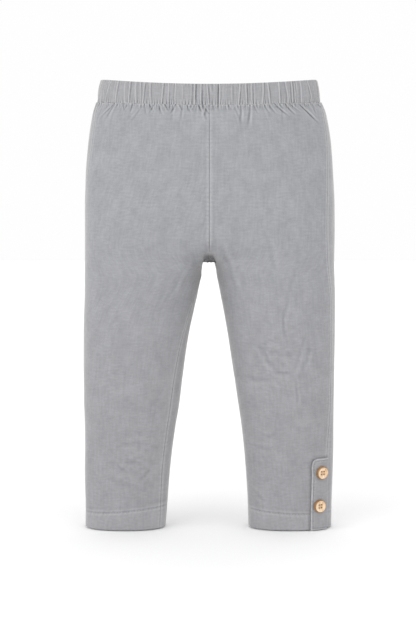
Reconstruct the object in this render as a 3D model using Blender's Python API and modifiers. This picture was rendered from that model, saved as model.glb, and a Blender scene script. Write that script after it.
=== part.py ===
# Cropped pull-on trousers for a small child, filled out as worn: four cloth panels, a gathered
# elastic waistband, and a button tab with two wooden buttons at the outer hem of the left leg.
# +Z is up, -Y is the front, +X is the wearer's left. The origin is the middle of the waistband.
import math

import bmesh
import bpy
from mathutils import Matrix, Vector

# Driving dimensions, in millimetres. Meshes are made in metres.
MM = 0.001
SEAM_GAP = 0.3            # clear space between two pieces that are sewn together
CLOTH_WALL = 1.4          # one layer of cloth with its nap
HEM_WALL = 2.6            # the turned-up hem is two layers
HEM_DEPTH = 20.0          # from the hem's fold up to its stitching
HEM_Z = -466.6            # lowest edge of both legs
BAND_HEIGHT = 23.0        # on average round the waist
BAND_WALL = 2.6
GATHER_DEPTH_SHARE = 0.15  # a gather's depth, as a share of its width
CROTCH_Z = -181.7
CROTCH_RISE_FRONT = 32.0  # height over which the front seam curves under
CROTCH_RISE_BACK = 46.0
CROTCH_SPREAD = 26.0      # the legs part fully this far below the crotch
ARCH_HEIGHT = 6.0         # height of the small arch between the legs
ARCH_POWER = 12.0         # how square its corners are
LEG_FORM_TOP = -40.0      # the sections change from one body ring to two leg rings
LEG_FORM_END = -200.0     # between these heights
SQUARENESS = 2.3          # 2 is an ellipse, more is fuller at the corners
VALLEY_REACH = 0.08       # share of a panel's width that follows the crotch seam
PANEL_COLUMNS = 14
SHARP_ANGLE = 50.0        # rims steeper than this are shaded as edges, in degrees

PLACKET_HEIGHT = 77.6
PLACKET_SPANS = (0.174, 0.148)  # its width at the hem and at its top, as shares of the way round
PLACKET_WALL = 1.9
PLACKET_CORNER = 5.0
PLACKET_COLUMNS = 8
PLACKET_CORNER_ROWS = (0.0, 0.7, 2.4, PLACKET_CORNER)  # below its top edge
PLACKET_PLAIN_ROWS = 5
BUTTON_RADIUS = 7.1
BUTTON_FACE = 2.1         # height of the sunk middle over the button's back
BUTTON_HEIGHTS = {"button_upper": 62.4, "button_lower": 26.3}  # above the hem
BUTTON_PLACES = {"button_upper": 0.465, "button_lower": 0.565}  # forward from the side seam
BUTTON_HOLE_RADIUS = 0.85
BUTTON_HOLE_SPACING = 3.1
BUTTON_SEGMENTS = 32
HOLE_SEGMENTS = 10
# Half of the button's turned outline, from the middle of its face over the rim to its back:
# radius and height.
BUTTON_PROFILE = (
    (0.0, BUTTON_FACE),
    (4.2, BUTTON_FACE),
    (5.0, 2.5),
    (5.6, 3.0),
    (6.1, 3.15),
    (6.7, 2.9),
    (BUTTON_RADIUS, 2.1),
    (BUTTON_RADIUS, 1.2),
    (6.7, 0.35),
    (6.0, 0.0),
    (0.0, 0.0),
)

# Half widths and half depths at heights down the garment: the outer edge and the inner edge
# of each leg from the middle line, then the front and the back from the middle plane.
SECTION_COLUMNS = ("z", "out_right", "in_right", "in_left", "out_left", "front", "back")
SECTIONS = (
    (-11.5, 119.3, 6.3, 6.3, 118.2, 60.5, 60.5),
    (-22.0, 123.1, 6.3, 6.3, 122.8, 64.5, 65.0),
    (-48.0, 127.8, 6.3, 6.3, 128.2, 67.5, 72.0),
    (-85.0, 131.2, 6.3, 6.3, 131.4, 68.0, 77.5),
    (-124.0, 132.5, 6.3, 6.3, 133.2, 66.5, 79.0),
    (-155.0, 132.6, 6.3, 6.3, 133.5, 63.5, 75.5),
    (-182.0, 132.8, 6.6, 6.4, 133.2, 59.5, 68.0),
    (-214.0, 133.2, 12.5, 11.6, 134.0, 55.5, 59.5),
    (-252.0, 134.5, 20.8, 18.7, 134.2, 51.0, 52.0),
    (-291.0, 134.7, 27.3, 24.7, 133.9, 46.5, 47.0),
    (-330.0, 134.7, 32.0, 30.8, 133.5, 42.5, 42.5),
    (-369.0, 133.8, 38.2, 36.0, 133.4, 38.0, 39.0),
    (-408.0, 134.2, 42.8, 39.6, 132.9, 34.0, 36.0),
    (-447.0, 133.5, 45.9, 41.8, 131.7, 31.5, 33.0),
    (-467.0, 133.6, 47.6, 42.4, 131.5, 31.0, 32.0),
)

# Where the seams run: 0 is the middle line or the inner edge, 1 is the outermost edge. Both
# legs are turned the same way, so the right inseam and the left side seam come forward.
SEAM_COLUMNS = ("z", "side_right", "side_left", "inseam_right", "inseam_left")
SEAMS = (
    (-11.5, 0.84, 0.84, 0.0, 0.0),
    (-48.0, 0.81, 0.82, 0.0, 0.0),
    (-85.0, 0.86, 0.80, 0.0, 0.0),
    (-124.0, 0.98, 0.80, 0.0, 0.0),
    (-182.0, 1.05, 0.83, 0.0, 0.0),
    (-214.0, 1.07, 0.86, 0.085, -0.05),
    (-252.0, 1.09, 0.87, 0.145, -0.08),
    (-322.0, 1.10, 0.865, 0.188, -0.10),
    (-395.0, 1.11, 0.81, 0.190, -0.12),
    (-467.0, 1.12, 0.826, 0.170, -0.12),
)

# Heights of the grid lines across each panel: at the side, at the front's inner edge, and at
# the back's inner edge. The lines tilt so that they can follow the crotch curve.
LINES = (
    (-12.7, -16.6, -15.8),
    (-20.5, -25.0, -24.0),
    (-32.0, -37.0, -36.0),
    (-48.0, -53.0, -52.0),
    (-68.0, -72.0, -70.0),
    (-90.0, -93.0, -88.0),
    (-112.0, -114.0, -106.0),
    (-132.0, -133.0, -121.0),
    (-150.0, -149.7, -135.7),
    (-163.0, -161.9, -153.3),
    (-175.0, -172.3, -168.2),
    (-186.0, -179.3, -178.2),
    (-196.0, -181.7, -181.7),
    (-205.0, -182.5, -182.5),
    (-214.0, -187.0, -187.0),
    (-225.0, -197.0, -197.0),
    (-238.0, -213.0, -213.0),
    (-254.0, -234.0, -234.0),
    (-272.0, -258.0, -258.0),
    (-292.0, -284.0, -284.0),
    (-313.0, -310.0, -310.0),
    (-335.0, -335.0, -335.0),
    (-356.0, -356.0, -356.0),
    (-377.0, -377.0, -377.0),
    (-398.0, -398.0, -398.0),
    (-417.0, -417.0, -417.0),
    (-433.0, -433.0, -433.0),
    (-444.6, -444.6, -444.6),
    (-448.4, -448.4, -448.4),
    (-466.6, -466.6, -466.6),
)

# The largest folds: the face, the two ends of a straight stretch (x, z, x, z), its half width,
# and how far it stands out (or sinks in, where it is negative).
FOLDS = (
    ("front", 16, -160, 38, -228, 8, 1.8),      # drag line from the crotch down the left thigh
    ("front", 8, -172, 27, -226, 6, -1.5),
    ("front", 92, -140, 76, -236, 12, -1.3),
    ("front", 58, -155, 66, -198, 10, -1.0),
    ("front", -19, -180, -42, -226, 8, 1.5),    # the same on the right thigh
    ("front", 56, -286, 84, -302, 11, -1.6),    # hollow under the left knee
    ("front", 84, -302, 106, -272, 11, -1.4),
    ("front", 34, -302, 62, -308, 9, -1.2),
    ("front", -104, -376, -62, -392, 13, -1.6),  # slack low on the right leg
    ("front", 100, -14, 124, -44, 8, -1.6),     # pull at the left hip
    ("front", -106, -14, -116, -40, 8, -1.2),
    ("back", 14, -150, 52, -196, 10, 2.2),      # drag lines below the seat
    ("back", -14, -152, -50, -200, 10, 2.0),
    ("back", 34, -186, 88, -204, 10, -1.8),
    ("back", -36, -190, -90, -202, 10, -1.6),
    ("back", 56, -300, 98, -288, 11, -1.8),     # backs of the knees
    ("back", -52, -292, -96, -304, 11, -1.8),
    ("back", 70, -324, 104, -316, 10, -1.4),
    ("back", -102, -22, -92, -58, 9, -1.4),
    ("back", 96, -20, 106, -56, 9, -1.4),
)

# Widths of the waistband's gathers round each quarter, counted from the middle line.
GATHER_COLUMNS = ("front_left", "front_right", "back_left", "back_right")
GATHERS = (
    (9.5, 6.5, 8.0, 7.0),
    (8.0, 7.0, 6.5, 8.5),
    (8.0, 6.5, 9.0, 6.0),
    (6.0, 7.0, 7.0, 7.5),
    (8.0, 7.5, 5.5, 10.0),
    (7.0, 6.0, 8.5, 5.5),
    (10.0, 7.0, 6.0, 7.0),
    (4.5, 12.5, 10.0, 8.0),
    (4.5, 7.0, 7.0, 6.5),
    (10.5, 8.0, 5.0, 9.0),
    (6.5, 8.0, 9.0, 5.0),
    (6.0, 7.0, 6.5, 7.5),
    (11.0, 8.0, 8.0, 8.5),
    (6.0, 7.5, 7.5, 6.0),
    (6.0, 7.0, 5.5, 9.5),
    (8.0, 8.0, 9.5, 7.0),
    (8.0, 6.5, 6.5, 6.0),
    (6.5, 7.5, 8.0, 8.0),
    (6.5, 7.5, 7.0, 7.5),
    (6.5, 7.0, 7.0, 6.5),
)
SIDE_GROOVE = -0.4        # how far the band sinks in over the side seams
RING_SAMPLES = 400        # points along a quarter of the ring, for measuring its length
# The band's upright profile: height at the sides, how far it leans in, and how far it hangs
# lower in the middle of the front and of the back.
BAND_PROFILE = (
    (-12.4, 1.0, 3.9, 3.1),
    (4.5, 2.6, 5.4, 3.7),
    (11.5, 4.4, 6.0, 4.0),
)

CLOTH_COLOUR = (0.386, 0.392, 0.415)
BAND_COLOUR = (0.395, 0.402, 0.420)
WOOD_COLOUR = (0.708, 0.533, 0.352)
STEP = 0.5                # for slopes along the surface, in millimetres
TURN_STEP = 0.004         # the same, round the section


def smooth_value(table, names, column, z):
    """Value of one column at a height, on a smooth curve that never overshoots its rows."""
    index = names.index(column)
    rows = sorted(table)
    heights = [row[0] for row in rows]
    values = [row[index] for row in rows]
    if z <= heights[0]:
        return values[0]
    if z >= heights[-1]:
        return values[-1]
    slopes = [(values[i + 1] - values[i]) / (heights[i + 1] - heights[i]) for i in range(len(rows) - 1)]

    def tangent(i):
        if i == 0 or i == len(rows) - 1:
            return slopes[min(i, len(slopes) - 1)]
        before, after = slopes[i - 1], slopes[i]
        return 2 * before * after / (before + after) if before * after > 0 else 0.0

    k = next(i for i in range(len(rows) - 1) if z <= heights[i + 1])
    gap = heights[k + 1] - heights[k]
    t = (z - heights[k]) / gap
    start = (2 * t**3 - 3 * t**2 + 1) * values[k] + (t**3 - 2 * t**2 + t) * gap * tangent(k)
    end = (3 * t**2 - 2 * t**3) * values[k + 1] + (t**3 - t**2) * gap * tangent(k + 1)
    return start + end


def section(column, z):
    return smooth_value(SECTIONS, SECTION_COLUMNS, column, z)


def seam(column, z):
    return smooth_value(SEAMS, SEAM_COLUMNS, column, z)


def ease(t):
    """Smooth step from 0 to 1."""
    t = min(1.0, max(0.0, t))
    return t * t * (3 - 2 * t)


def edges_of_leg(side, z):
    """Distances from the middle line: the inner edge itself, which is 0 above the crotch, the
    inner side of the leg that swells out of the body beside it, and the outer edge."""
    outer = section(f"out_{side}", z)
    inner_side = section(f"in_{side}", z)
    drop = min(1.0, max(0.0, (CROTCH_Z - z) / ARCH_HEIGHT))
    edge = inner_side * (1 - (1 - drop) ** ARCH_POWER)
    swell = inner_side * ease((CROTCH_Z + CROTCH_SPREAD - z) / (2 * CROTCH_SPREAD))
    return edge, swell, outer


def face_at(place):
    """Front or back, for a place that may have gone past the inner edge on either side."""
    round_place = place if 0 <= place <= 2 else place % 2
    return "front" if round_place < 1 else "back"


def form_point(side, z, place):
    """Point of the smooth outer form. place runs from 0 at the front's inner edge through 1 at
    the side to 2 at the back's inner edge, and on round a leg."""
    sign = 1 if side == "left" else -1
    face = face_at(place)
    rise = CROTCH_RISE_FRONT if face == "front" else CROTCH_RISE_BACK
    edge, inner, outer = edges_of_leg(side, z)
    leg_share = ease((LEG_FORM_TOP - z) / (LEG_FORM_TOP - LEG_FORM_END))
    across = abs(math.sin(math.pi * place / 2)) ** (1 + leg_share)
    near = math.exp(-((across / VALLEY_REACH) ** 2))
    half_depth = section(face, z)
    body = half_depth * max(0.0, 1 - across**SQUARENESS) ** (1 / SQUARENESS)
    lobe = max(0.0, 1 - abs(2 * across - 1) ** SQUARENESS) ** (1 / SQUARENESS)
    if across < 0.5:
        drop = min(1.0, max(0.0, (CROTCH_Z + rise - z) / rise))
        at_seam = 1 - math.sqrt(1 - drop * drop)
        beside = ease((CROTCH_Z + rise - z) / (rise + CROTCH_SPREAD))
        parting = near * at_seam + (1 - near) * beside
        crest = (1 - leg_share) * body + leg_share * half_depth
        depth = crest * (1 - parting * (1 - lobe))
    else:
        depth = (1 - leg_share) * body + leg_share * half_depth * lobe
    y = -depth if face == "front" else depth
    x = inner + (outer - inner) * across + (edge - inner) * near
    return Vector((sign * x, y, z))


def form_normal(side, z, place):
    """Outward direction of the smooth form."""
    sign = 1 if side == "left" else -1
    upper, lower = z + STEP, z - STEP
    if z >= CROTCH_Z:
        lower = max(lower, CROTCH_Z)
    else:
        upper = min(upper, CROTCH_Z)
    down = form_point(side, upper, place) - form_point(side, lower, place)
    if z >= CROTCH_Z and place in (0.0, 2.0):
        facing = -1 if place == 0.0 else 1
        normal = Vector((0, down.z, -down.y)).normalized()
        return normal if normal.dot(Vector((0, facing, -1))) > 0 else -normal
    around = form_point(side, z, place + TURN_STEP) - form_point(side, z, place - TURN_STEP)
    normal = around.cross(down).normalized()
    inner, outer = edges_of_leg(side, z)[1:]
    outward = form_point(side, z, place) - Vector((sign * (inner + outer) / 2, 0, z))
    return normal if normal.dot(outward) > 0 else -normal


def fold_height(face, x, z):
    """How far the folds move the cloth out at one place."""
    total = 0.0
    for fold_face, x1, z1, x2, z2, half_width, height in FOLDS:
        if fold_face != face:
            continue
        start, run = Vector((x1, z1)), Vector((x2 - x1, z2 - z1))
        here = Vector((x, z)) - start
        along = min(1.0, max(0.0, here.dot(run) / run.length_squared))
        distance = (here - run * along).length
        total += height * math.exp(-((distance / half_width) ** 2))
    return total


def cloth_point(side, z, place):
    """Point and outward direction on the cloth, with its folds."""
    point = form_point(side, z, place)
    normal = form_normal(side, z, place)
    sideways = 1 - abs(normal.x)
    height = fold_height("front" if point.y < 0 else "back", point.x, z)
    return point + normal * height * sideways, normal


def line_height(line, place):
    """Height of a grid line at a place round the section."""
    side, front, back = line
    inner = front if face_at(place) == "front" else back
    return side + (inner - side) * math.cos(math.pi * place / 2) ** 2


def panel_grid(side, face):
    """Rows of points and outward directions of one panel, from waist to hem."""
    points, normals = [], []
    for line in LINES:
        side_z, front_z, back_z = line
        inner_z = front_z if face == "front" else back_z
        inseam = seam(f"inseam_{side}", inner_z)
        side_seam = seam(f"side_{side}", side_z)
        start, end = (inseam, side_seam) if face == "front" else (side_seam, 2 + inseam)
        row, row_normals = [], []
        for column in range(PANEL_COLUMNS + 1):
            place = start + (end - start) * column / PANEL_COLUMNS
            point, normal = cloth_point(side, line_height(line, place), place)
            row.append(point)
            row_normals.append(normal)
        part_from_seams(side, face, inner_z, row, row_normals)
        points.append(row)
        normals.append(row_normals)
    return points, normals


def part_from_seams(side, face, inner_z, row, row_normals):
    """Draws a row's two ends back by half the seam gap."""
    sign = 1 if side == "left" else -1
    half = SEAM_GAP / 2
    inner, outer = (0, -1) if face == "front" else (-1, 0)
    for end, next_to in ((0, 1), (-1, -2)):
        round_section = row_normals[end].cross(Vector((0, 0, 1)))
        if round_section.dot(row[next_to] - row[end]) < 0:
            round_section.negate()
        if end == outer or inner_z < CROTCH_Z:
            row[end] += round_section.normalized() * half
    if inner_z > CROTCH_Z:
        row[inner] += Vector((sign * half, 0, 0))
    elif inner_z == CROTCH_Z:
        row[inner] += Vector((sign * half, -half if face == "front" else half, 0))


def closed_wall(name, points, walls, normals, ring=False):
    """Mesh of a wall: the outer rows of points, the same points moved in by each row's wall,
    and rims round the open edges. A ring's rows close on themselves."""
    mesh = bmesh.new()
    outer, inner = [], []
    for row, row_normals, wall in zip(points, normals, walls):
        outer.append([mesh.verts.new(p * MM) for p in row])
        inner.append([mesh.verts.new((p - n * wall) * MM) for p, n in zip(row, row_normals)])
    count = len(points[0])
    steps = count if ring else count - 1
    for r in range(len(points) - 1):
        for c in range(steps):
            d = (c + 1) % count
            mesh.faces.new((outer[r][c], outer[r + 1][c], outer[r + 1][d], outer[r][d]))
            mesh.faces.new((inner[r][c], inner[r][d], inner[r + 1][d], inner[r + 1][c]))
        if not ring:
            mesh.faces.new((outer[r][0], inner[r][0], inner[r + 1][0], outer[r + 1][0]))
            mesh.faces.new((outer[r][-1], outer[r + 1][-1], inner[r + 1][-1], inner[r][-1]))
    for c in range(steps):
        d = (c + 1) % count
        mesh.faces.new((outer[0][c], outer[0][d], inner[0][d], inner[0][c]))
        mesh.faces.new((outer[-1][c], inner[-1][c], inner[-1][d], outer[-1][d]))
    bmesh.ops.recalc_face_normals(mesh, faces=mesh.faces)
    data = bpy.data.meshes.new(name)
    mesh.to_mesh(data)
    mesh.free()
    data.shade_smooth()
    data.set_sharp_from_angle(angle=math.radians(SHARP_ANGLE))
    return data


def principled(name, colour, roughness):
    material = bpy.data.materials.new(name)
    material.use_nodes = True
    shader = material.node_tree.nodes["Principled BSDF"]
    shader.inputs["Base Color"].default_value = (*colour, 1.0)
    shader.inputs["Roughness"].default_value = roughness
    shader.inputs["Metallic"].default_value = 0.0
    return material


def add_object(name, data, collection, material):
    thing = bpy.data.objects.new(name, data)
    collection.objects.link(thing)
    data.materials.append(material)
    return thing


def panel(side, face, collection):
    name = f"{face}_{side}"
    points, normals = panel_grid(side, face)
    hem_line = HEM_Z + HEM_DEPTH
    walls = [HEM_WALL if side_z < hem_line else CLOTH_WALL for side_z, front_z, back_z in LINES]
    mesh = closed_wall(name, points, walls, normals)
    return add_object(name, mesh, collection, principled(f"cloth_{name}", CLOTH_COLOUR, 0.9))


def band_places():
    """Places round the waistband from the front's middle: each gather gives its groove and its
    ridge. A row holds the side, the place and how far the ring stands out there."""
    quarters = []
    for column, quarter in enumerate(GATHER_COLUMNS):
        face, side = quarter.split("_")
        widths = [row[column] for row in GATHERS]
        shares = [i / RING_SAMPLES for i in range(RING_SAMPLES + 1)]
        places = [share if face == "front" else 2 - share for share in shares]
        spots = [form_point(side, -BAND_HEIGHT / 2, p) for p in places]
        lengths = [0.0]
        for before, after in zip(spots, spots[1:]):
            lengths.append(lengths[-1] + (after - before).length)
        scale = lengths[-1] / sum(widths)
        quarter_ring, start = [], 0.0
        for width in widths:
            for share, lift in ((0.0, -0.5), (0.5, 0.5)):
                target = (start + width * share) * scale
                k = next(i for i in range(RING_SAMPLES) if lengths[i + 1] >= target)
                t = (target - lengths[k]) / (lengths[k + 1] - lengths[k])
                place = places[k] + (places[k + 1] - places[k]) * t
                quarter_ring.append((side, place, lift * GATHER_DEPTH_SHARE * width))
            start += width
        quarters.append(quarter_ring)
    front_left, front_right, back_left, back_right = quarters
    # The ring runs from the front's middle to the left, round the back and home by the right.
    ring = front_left + [("left", 1.0, SIDE_GROOVE)] + back_left[::-1]
    ring += back_right[1:] + [("right", 1.0, SIDE_GROOVE)]
    return ring + front_right[:0:-1]


def waistband(collection):
    points, normals = [], []
    ring = band_places()
    for height, lean, dip_front, dip_back in BAND_PROFILE:
        row, row_normals = [], []
        for side, place, lift in ring:
            dip = dip_front if place < 1 else dip_back
            point = form_point(side, -BAND_HEIGHT / 2, place)
            flat = form_normal(side, -BAND_HEIGHT / 2, place)
            flat.z = 0
            flat.normalize()
            z = height - dip * math.cos(math.pi * place / 2) ** 2
            row.append(Vector((point.x, point.y, z)) + flat * (lift - lean))
            row_normals.append(flat)
        points.append(row)
        normals.append(row_normals)
    mesh = closed_wall("waistband", points, [BAND_WALL] * len(points), normals, ring=True)
    return add_object("waistband", mesh, collection, principled("cloth_waistband", BAND_COLOUR, 0.9))


def placket_span(z):
    """Width of the placket at a height, as a share of the way round from inseam to side seam."""
    at_hem, at_top = PLACKET_SPANS
    return at_hem + (at_top - at_hem) * (z - HEM_Z) / PLACKET_HEIGHT


def placket_edge(z):
    """Place of the placket's front edge. Its upper corner is round."""
    top = HEM_Z + PLACKET_HEIGHT
    span = placket_span(z)
    edge = seam("side_left", z) - span
    below = min(PLACKET_CORNER, top - z)
    inset = PLACKET_CORNER - math.sqrt(PLACKET_CORNER**2 - (PLACKET_CORNER - below) ** 2)
    here = form_point("left", z, edge)
    length = (form_point("left", z, edge + span) - here).length
    return edge + span * inset / length


def placket(collection):
    """Doubled strip over the front panel, from the side seam forward, made from its points."""
    top = HEM_Z + PLACKET_HEIGHT
    heights = [top - drop for drop in PLACKET_CORNER_ROWS]
    plain_step = (heights[-1] - HEM_Z) / PLACKET_PLAIN_ROWS
    for _ in range(PLACKET_PLAIN_ROWS):
        heights.append(heights[-1] - plain_step)
    lift = SEAM_GAP + PLACKET_WALL
    points, normals = [], []
    for z in heights:
        start, end = placket_edge(z), seam("side_left", z)
        row, row_normals = [], []
        for column in range(PLACKET_COLUMNS + 1):
            place = start + (end - start) * column / PLACKET_COLUMNS
            point, normal = cloth_point("left", z, place)
            row.append(point + normal * lift)
            row_normals.append(normal)
        points.append(row)
        normals.append(row_normals)
    mesh = closed_wall("placket", points, [PLACKET_WALL] * len(heights), normals)
    return add_object("placket", mesh, collection, principled("cloth_placket", CLOTH_COLOUR, 0.9))


def button(name, collection, cutters):
    """Turned wooden button with a raised rim, a sunk middle and four holes."""
    z = HEM_Z + BUTTON_HEIGHTS[name]
    side_seam = seam("side_left", z)
    place = side_seam - placket_span(z) * BUTTON_PLACES[name]
    point, normal = cloth_point("left", z, place)
    across = Vector((-normal.y, normal.x, 0)).normalized()
    up = normal.cross(across)
    seat = point + normal * (SEAM_GAP + PLACKET_WALL + SEAM_GAP)
    frame = Matrix((across, up, normal)).transposed().to_4x4()
    frame.translation = seat * MM

    outline = bpy.data.meshes.new(name)
    points = [(radius * MM, 0, height * MM) for radius, height in BUTTON_PROFILE]
    outline.from_pydata(points, [(i, i + 1) for i in range(len(points) - 1)], [])
    body = add_object(name, outline, collection, principled(f"wood_{name}", WOOD_COLOUR, 0.6))
    body.matrix_world = frame
    turn = body.modifiers.new("turn", "SCREW")
    turn.steps = BUTTON_SEGMENTS
    turn.render_steps = BUTTON_SEGMENTS
    turn.use_merge_vertices = True
    turn.merge_threshold = 0.00002
    turn.use_smooth_shade = True

    drill_mesh = bmesh.new()
    half = BUTTON_HOLE_SPACING / 2
    for x, y in ((half, half), (half, -half), (-half, half), (-half, -half)):
        bmesh.ops.create_cone(
            drill_mesh, cap_ends=True, segments=HOLE_SEGMENTS, radius1=BUTTON_HOLE_RADIUS * MM,
            radius2=BUTTON_HOLE_RADIUS * MM, depth=4 * BUTTON_FACE * MM,
            matrix=Matrix.Translation((x * MM, y * MM, BUTTON_FACE / 2 * MM)),
        )
    drill_data = bpy.data.meshes.new(f"{name}_drill")
    drill_mesh.to_mesh(drill_data)
    drill_mesh.free()
    drill = bpy.data.objects.new(f"{name}_drill", drill_data)
    cutters.objects.link(drill)
    drill.parent = body
    drill.hide_render = True
    drill.display_type = "WIRE"
    holes = body.modifiers.new("holes", "BOOLEAN")
    holes.operation = "DIFFERENCE"
    holes.object = drill
    holes.solver = "EXACT"
    return body


def main():
    for thing in list(bpy.data.objects):
        bpy.data.objects.remove(thing)
    collection = bpy.data.collections.new("trousers")
    cutters = bpy.data.collections.new("cutters")
    bpy.context.scene.collection.children.link(collection)
    bpy.context.scene.collection.children.link(cutters)
    for side in ("left", "right"):
        for face in ("front", "back"):
            panel(side, face, collection)
    waistband(collection)
    placket(collection)
    for name in BUTTON_HEIGHTS:
        button(name, collection, cutters)


main()
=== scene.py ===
import math
import random

import bmesh
import bpy
import numpy as np
from mathutils import Matrix, Vector, noise


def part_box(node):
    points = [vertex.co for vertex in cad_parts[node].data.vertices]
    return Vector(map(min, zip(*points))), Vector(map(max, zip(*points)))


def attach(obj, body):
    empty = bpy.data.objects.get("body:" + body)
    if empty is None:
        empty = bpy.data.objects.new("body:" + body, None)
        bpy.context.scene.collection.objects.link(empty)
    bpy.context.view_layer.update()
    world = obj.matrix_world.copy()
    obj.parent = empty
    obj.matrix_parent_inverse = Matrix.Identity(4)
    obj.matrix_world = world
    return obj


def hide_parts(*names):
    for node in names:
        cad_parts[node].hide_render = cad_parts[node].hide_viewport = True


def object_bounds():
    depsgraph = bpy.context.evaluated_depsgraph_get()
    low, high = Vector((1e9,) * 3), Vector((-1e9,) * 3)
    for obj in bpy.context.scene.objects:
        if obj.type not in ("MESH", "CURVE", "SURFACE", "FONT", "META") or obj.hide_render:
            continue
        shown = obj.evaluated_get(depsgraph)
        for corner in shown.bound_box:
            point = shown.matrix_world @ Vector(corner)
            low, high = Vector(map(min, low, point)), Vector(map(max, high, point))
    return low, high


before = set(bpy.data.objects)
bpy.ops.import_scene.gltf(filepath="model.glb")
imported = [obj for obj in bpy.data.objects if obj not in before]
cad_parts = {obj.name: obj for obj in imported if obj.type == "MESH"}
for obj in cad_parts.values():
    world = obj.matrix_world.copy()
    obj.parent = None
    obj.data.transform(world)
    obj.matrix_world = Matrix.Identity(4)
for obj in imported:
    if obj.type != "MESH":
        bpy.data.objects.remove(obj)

# A small child's cropped pull-on trousers, filled out as worn. The solids give every piece its
# place and size: their outer faces are read back as grids, drawn fine, creased and sewn.
# Cloth is worked out in millimetres and made in metres.

mm = 0.001
cadLow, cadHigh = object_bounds()
hemZ = cadLow.z / mm
bpy.ops.object.select_all(action="DESELECT")


def toLinear(hexColour):
    parts = [int(hexColour[i:i + 2], 16) / 255 for i in (1, 3, 5)]
    return [p / 12.92 if p <= 0.04045 else ((p + 0.055) / 1.055) ** 2.4 for p in parts] + [1.0]


def addNode(tree, kind, settings=None, links=None):
    # settings are node properties or input values by name, links are inputs fed by other nodes
    node = tree.nodes.new(kind)
    for key, value in (settings or {}).items():
        if isinstance(key, str) and hasattr(node, key):
            setattr(node, key, value)
        else:
            node.inputs[key].default_value = value
    for key, source in (links or {}).items():
        tree.links.new(source, node.inputs[key])
    return node


def emptyMaterial(name):
    material = bpy.data.materials.new(name)
    material.use_nodes = True
    material.node_tree.nodes.clear()
    return material, material.node_tree


def ease(value):
    # 0 to 1 with a soft start and end
    value = np.clip(value, 0.0, 1.0)
    return value * value * (3 - 2 * value)


def bell(distance, reach):
    # 1 at no distance, almost nothing at twice the reach
    return np.exp(-((distance / reach) ** 2))


def unit(vectors):
    return vectors / np.linalg.norm(vectors, axis=-1, keepdims=True)


def unevenness(points, size, seed, squeeze=(1, 1, 1)):
    # soft noise over the cloth, from -1 to 1, its lumps about one size across, larger where squeezed
    flat = (points * np.array(squeeze)).reshape(-1, 3) / size + seed * 7.3
    return np.array([noise.noise(Vector(p)) for p in flat]).reshape(points.shape[:-1])


def runLength(points):
    # distance along a line of points, from its first
    steps = np.linalg.norm(np.diff(points, axis=0), axis=-1)
    return np.concatenate([np.zeros((1,) + steps.shape[1:]), np.cumsum(steps, axis=0)])


def smoothLine(points, stations, at):
    # a smooth line through points, read at other stations; each slope comes from both neighbours
    spread = (-1,) + (1,) * (points.ndim - 1)
    steps = np.diff(stations).reshape(spread)
    slopes = np.diff(points, axis=0) / steps
    tangents = np.empty_like(points)
    tangents[1:-1] = (slopes[:-1] * steps[1:] + slopes[1:] * steps[:-1]) / (steps[1:] + steps[:-1])
    tangents[0] = 1.5 * slopes[0] - 0.5 * tangents[1]
    tangents[-1] = 1.5 * slopes[-1] - 0.5 * tangents[-2]
    k = np.clip(np.searchsorted(stations, at, side="right") - 1, 0, len(steps) - 1)
    step = steps[k]
    t = (at - stations[k]).reshape(spread) / step
    start = (2 * t**3 - 3 * t**2 + 1) * points[k] + (t**3 - 2 * t**2 + t) * step * tangents[k]
    end = (3 * t**2 - 2 * t**3) * points[k + 1] + (t**3 - t**2) * step * tangents[k + 1]
    return start + end


def spreadRows(rows, shares):
    # each row read again at shares of its own length
    spread = []
    for row in rows:
        run = runLength(row)
        spread.append(smoothLine(row, run / run[-1], shares))
    return np.array(spread)


def steppedAlong(marks):
    # stations along a length: marks hold (from, to, step)
    stations = []
    for first, last, step in marks:
        count = max(1, round((last - first) / step))
        stations += list(np.linspace(first, last, count, endpoint=False))
    return np.array(stations + [marks[-1][1]])


def normalsOf(points, middle):
    # outward directions on a grid of points
    normals = unit(np.cross(np.gradient(points, axis=0), np.gradient(points, axis=1)))
    return normals if ((points - middle) * normals).sum() > 0 else -normals


def blurred(values, reach, closed=False):
    # mean over a block of neighbours on the grid, reach rows and columns each way
    for axis in (0, 1):
        mode = "wrap" if closed and axis == 1 else "edge"
        pads = [(reach[axis],) * 2 if a == axis else (0, 0) for a in range(values.ndim)]
        padded = np.pad(values, pads, mode=mode)
        windows = np.lib.stride_tricks.sliding_window_view(padded, 2 * reach[axis] + 1, axis=axis)
        values = windows.mean(axis=-1)
    return values


def outerSkin(work, outward):
    # the faces of a solid's outer side, spread from the one furthest out up to its sharp rims
    rimAngle = math.radians(68)
    seed = max(work.faces, key=lambda face: face.calc_center_median().dot(Vector(outward)))
    skin, fresh = {seed}, [seed]
    while fresh:
        for edge in fresh.pop().edges:
            for face in edge.link_faces:
                atCentreSeam = all(abs(vert.co.x) < 0.5 * mm for vert in face.verts)
                if face not in skin and not atCentreSeam and edge.calc_face_angle() < rimAngle:
                    skin.add(face)
                    fresh.append(face)
    return skin


def lowestBorder(skin):
    # of the closed lines of vertices round the skin, the one that is lowest on average
    follows = {}
    for face in skin:
        for loop in face.loops:
            if any(other not in skin for other in loop.edge.link_faces):
                follows[loop.vert] = loop.link_loop_next.vert
    borders = []
    while follows:
        line = [next(iter(follows))]
        while follows.get(line[-1]) is not None:
            line.append(follows.pop(line[-1]))
        borders.append(line[:-1])
    return min(borders, key=lambda verts: sum(v.co.z for v in verts) / len(verts))


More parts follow.
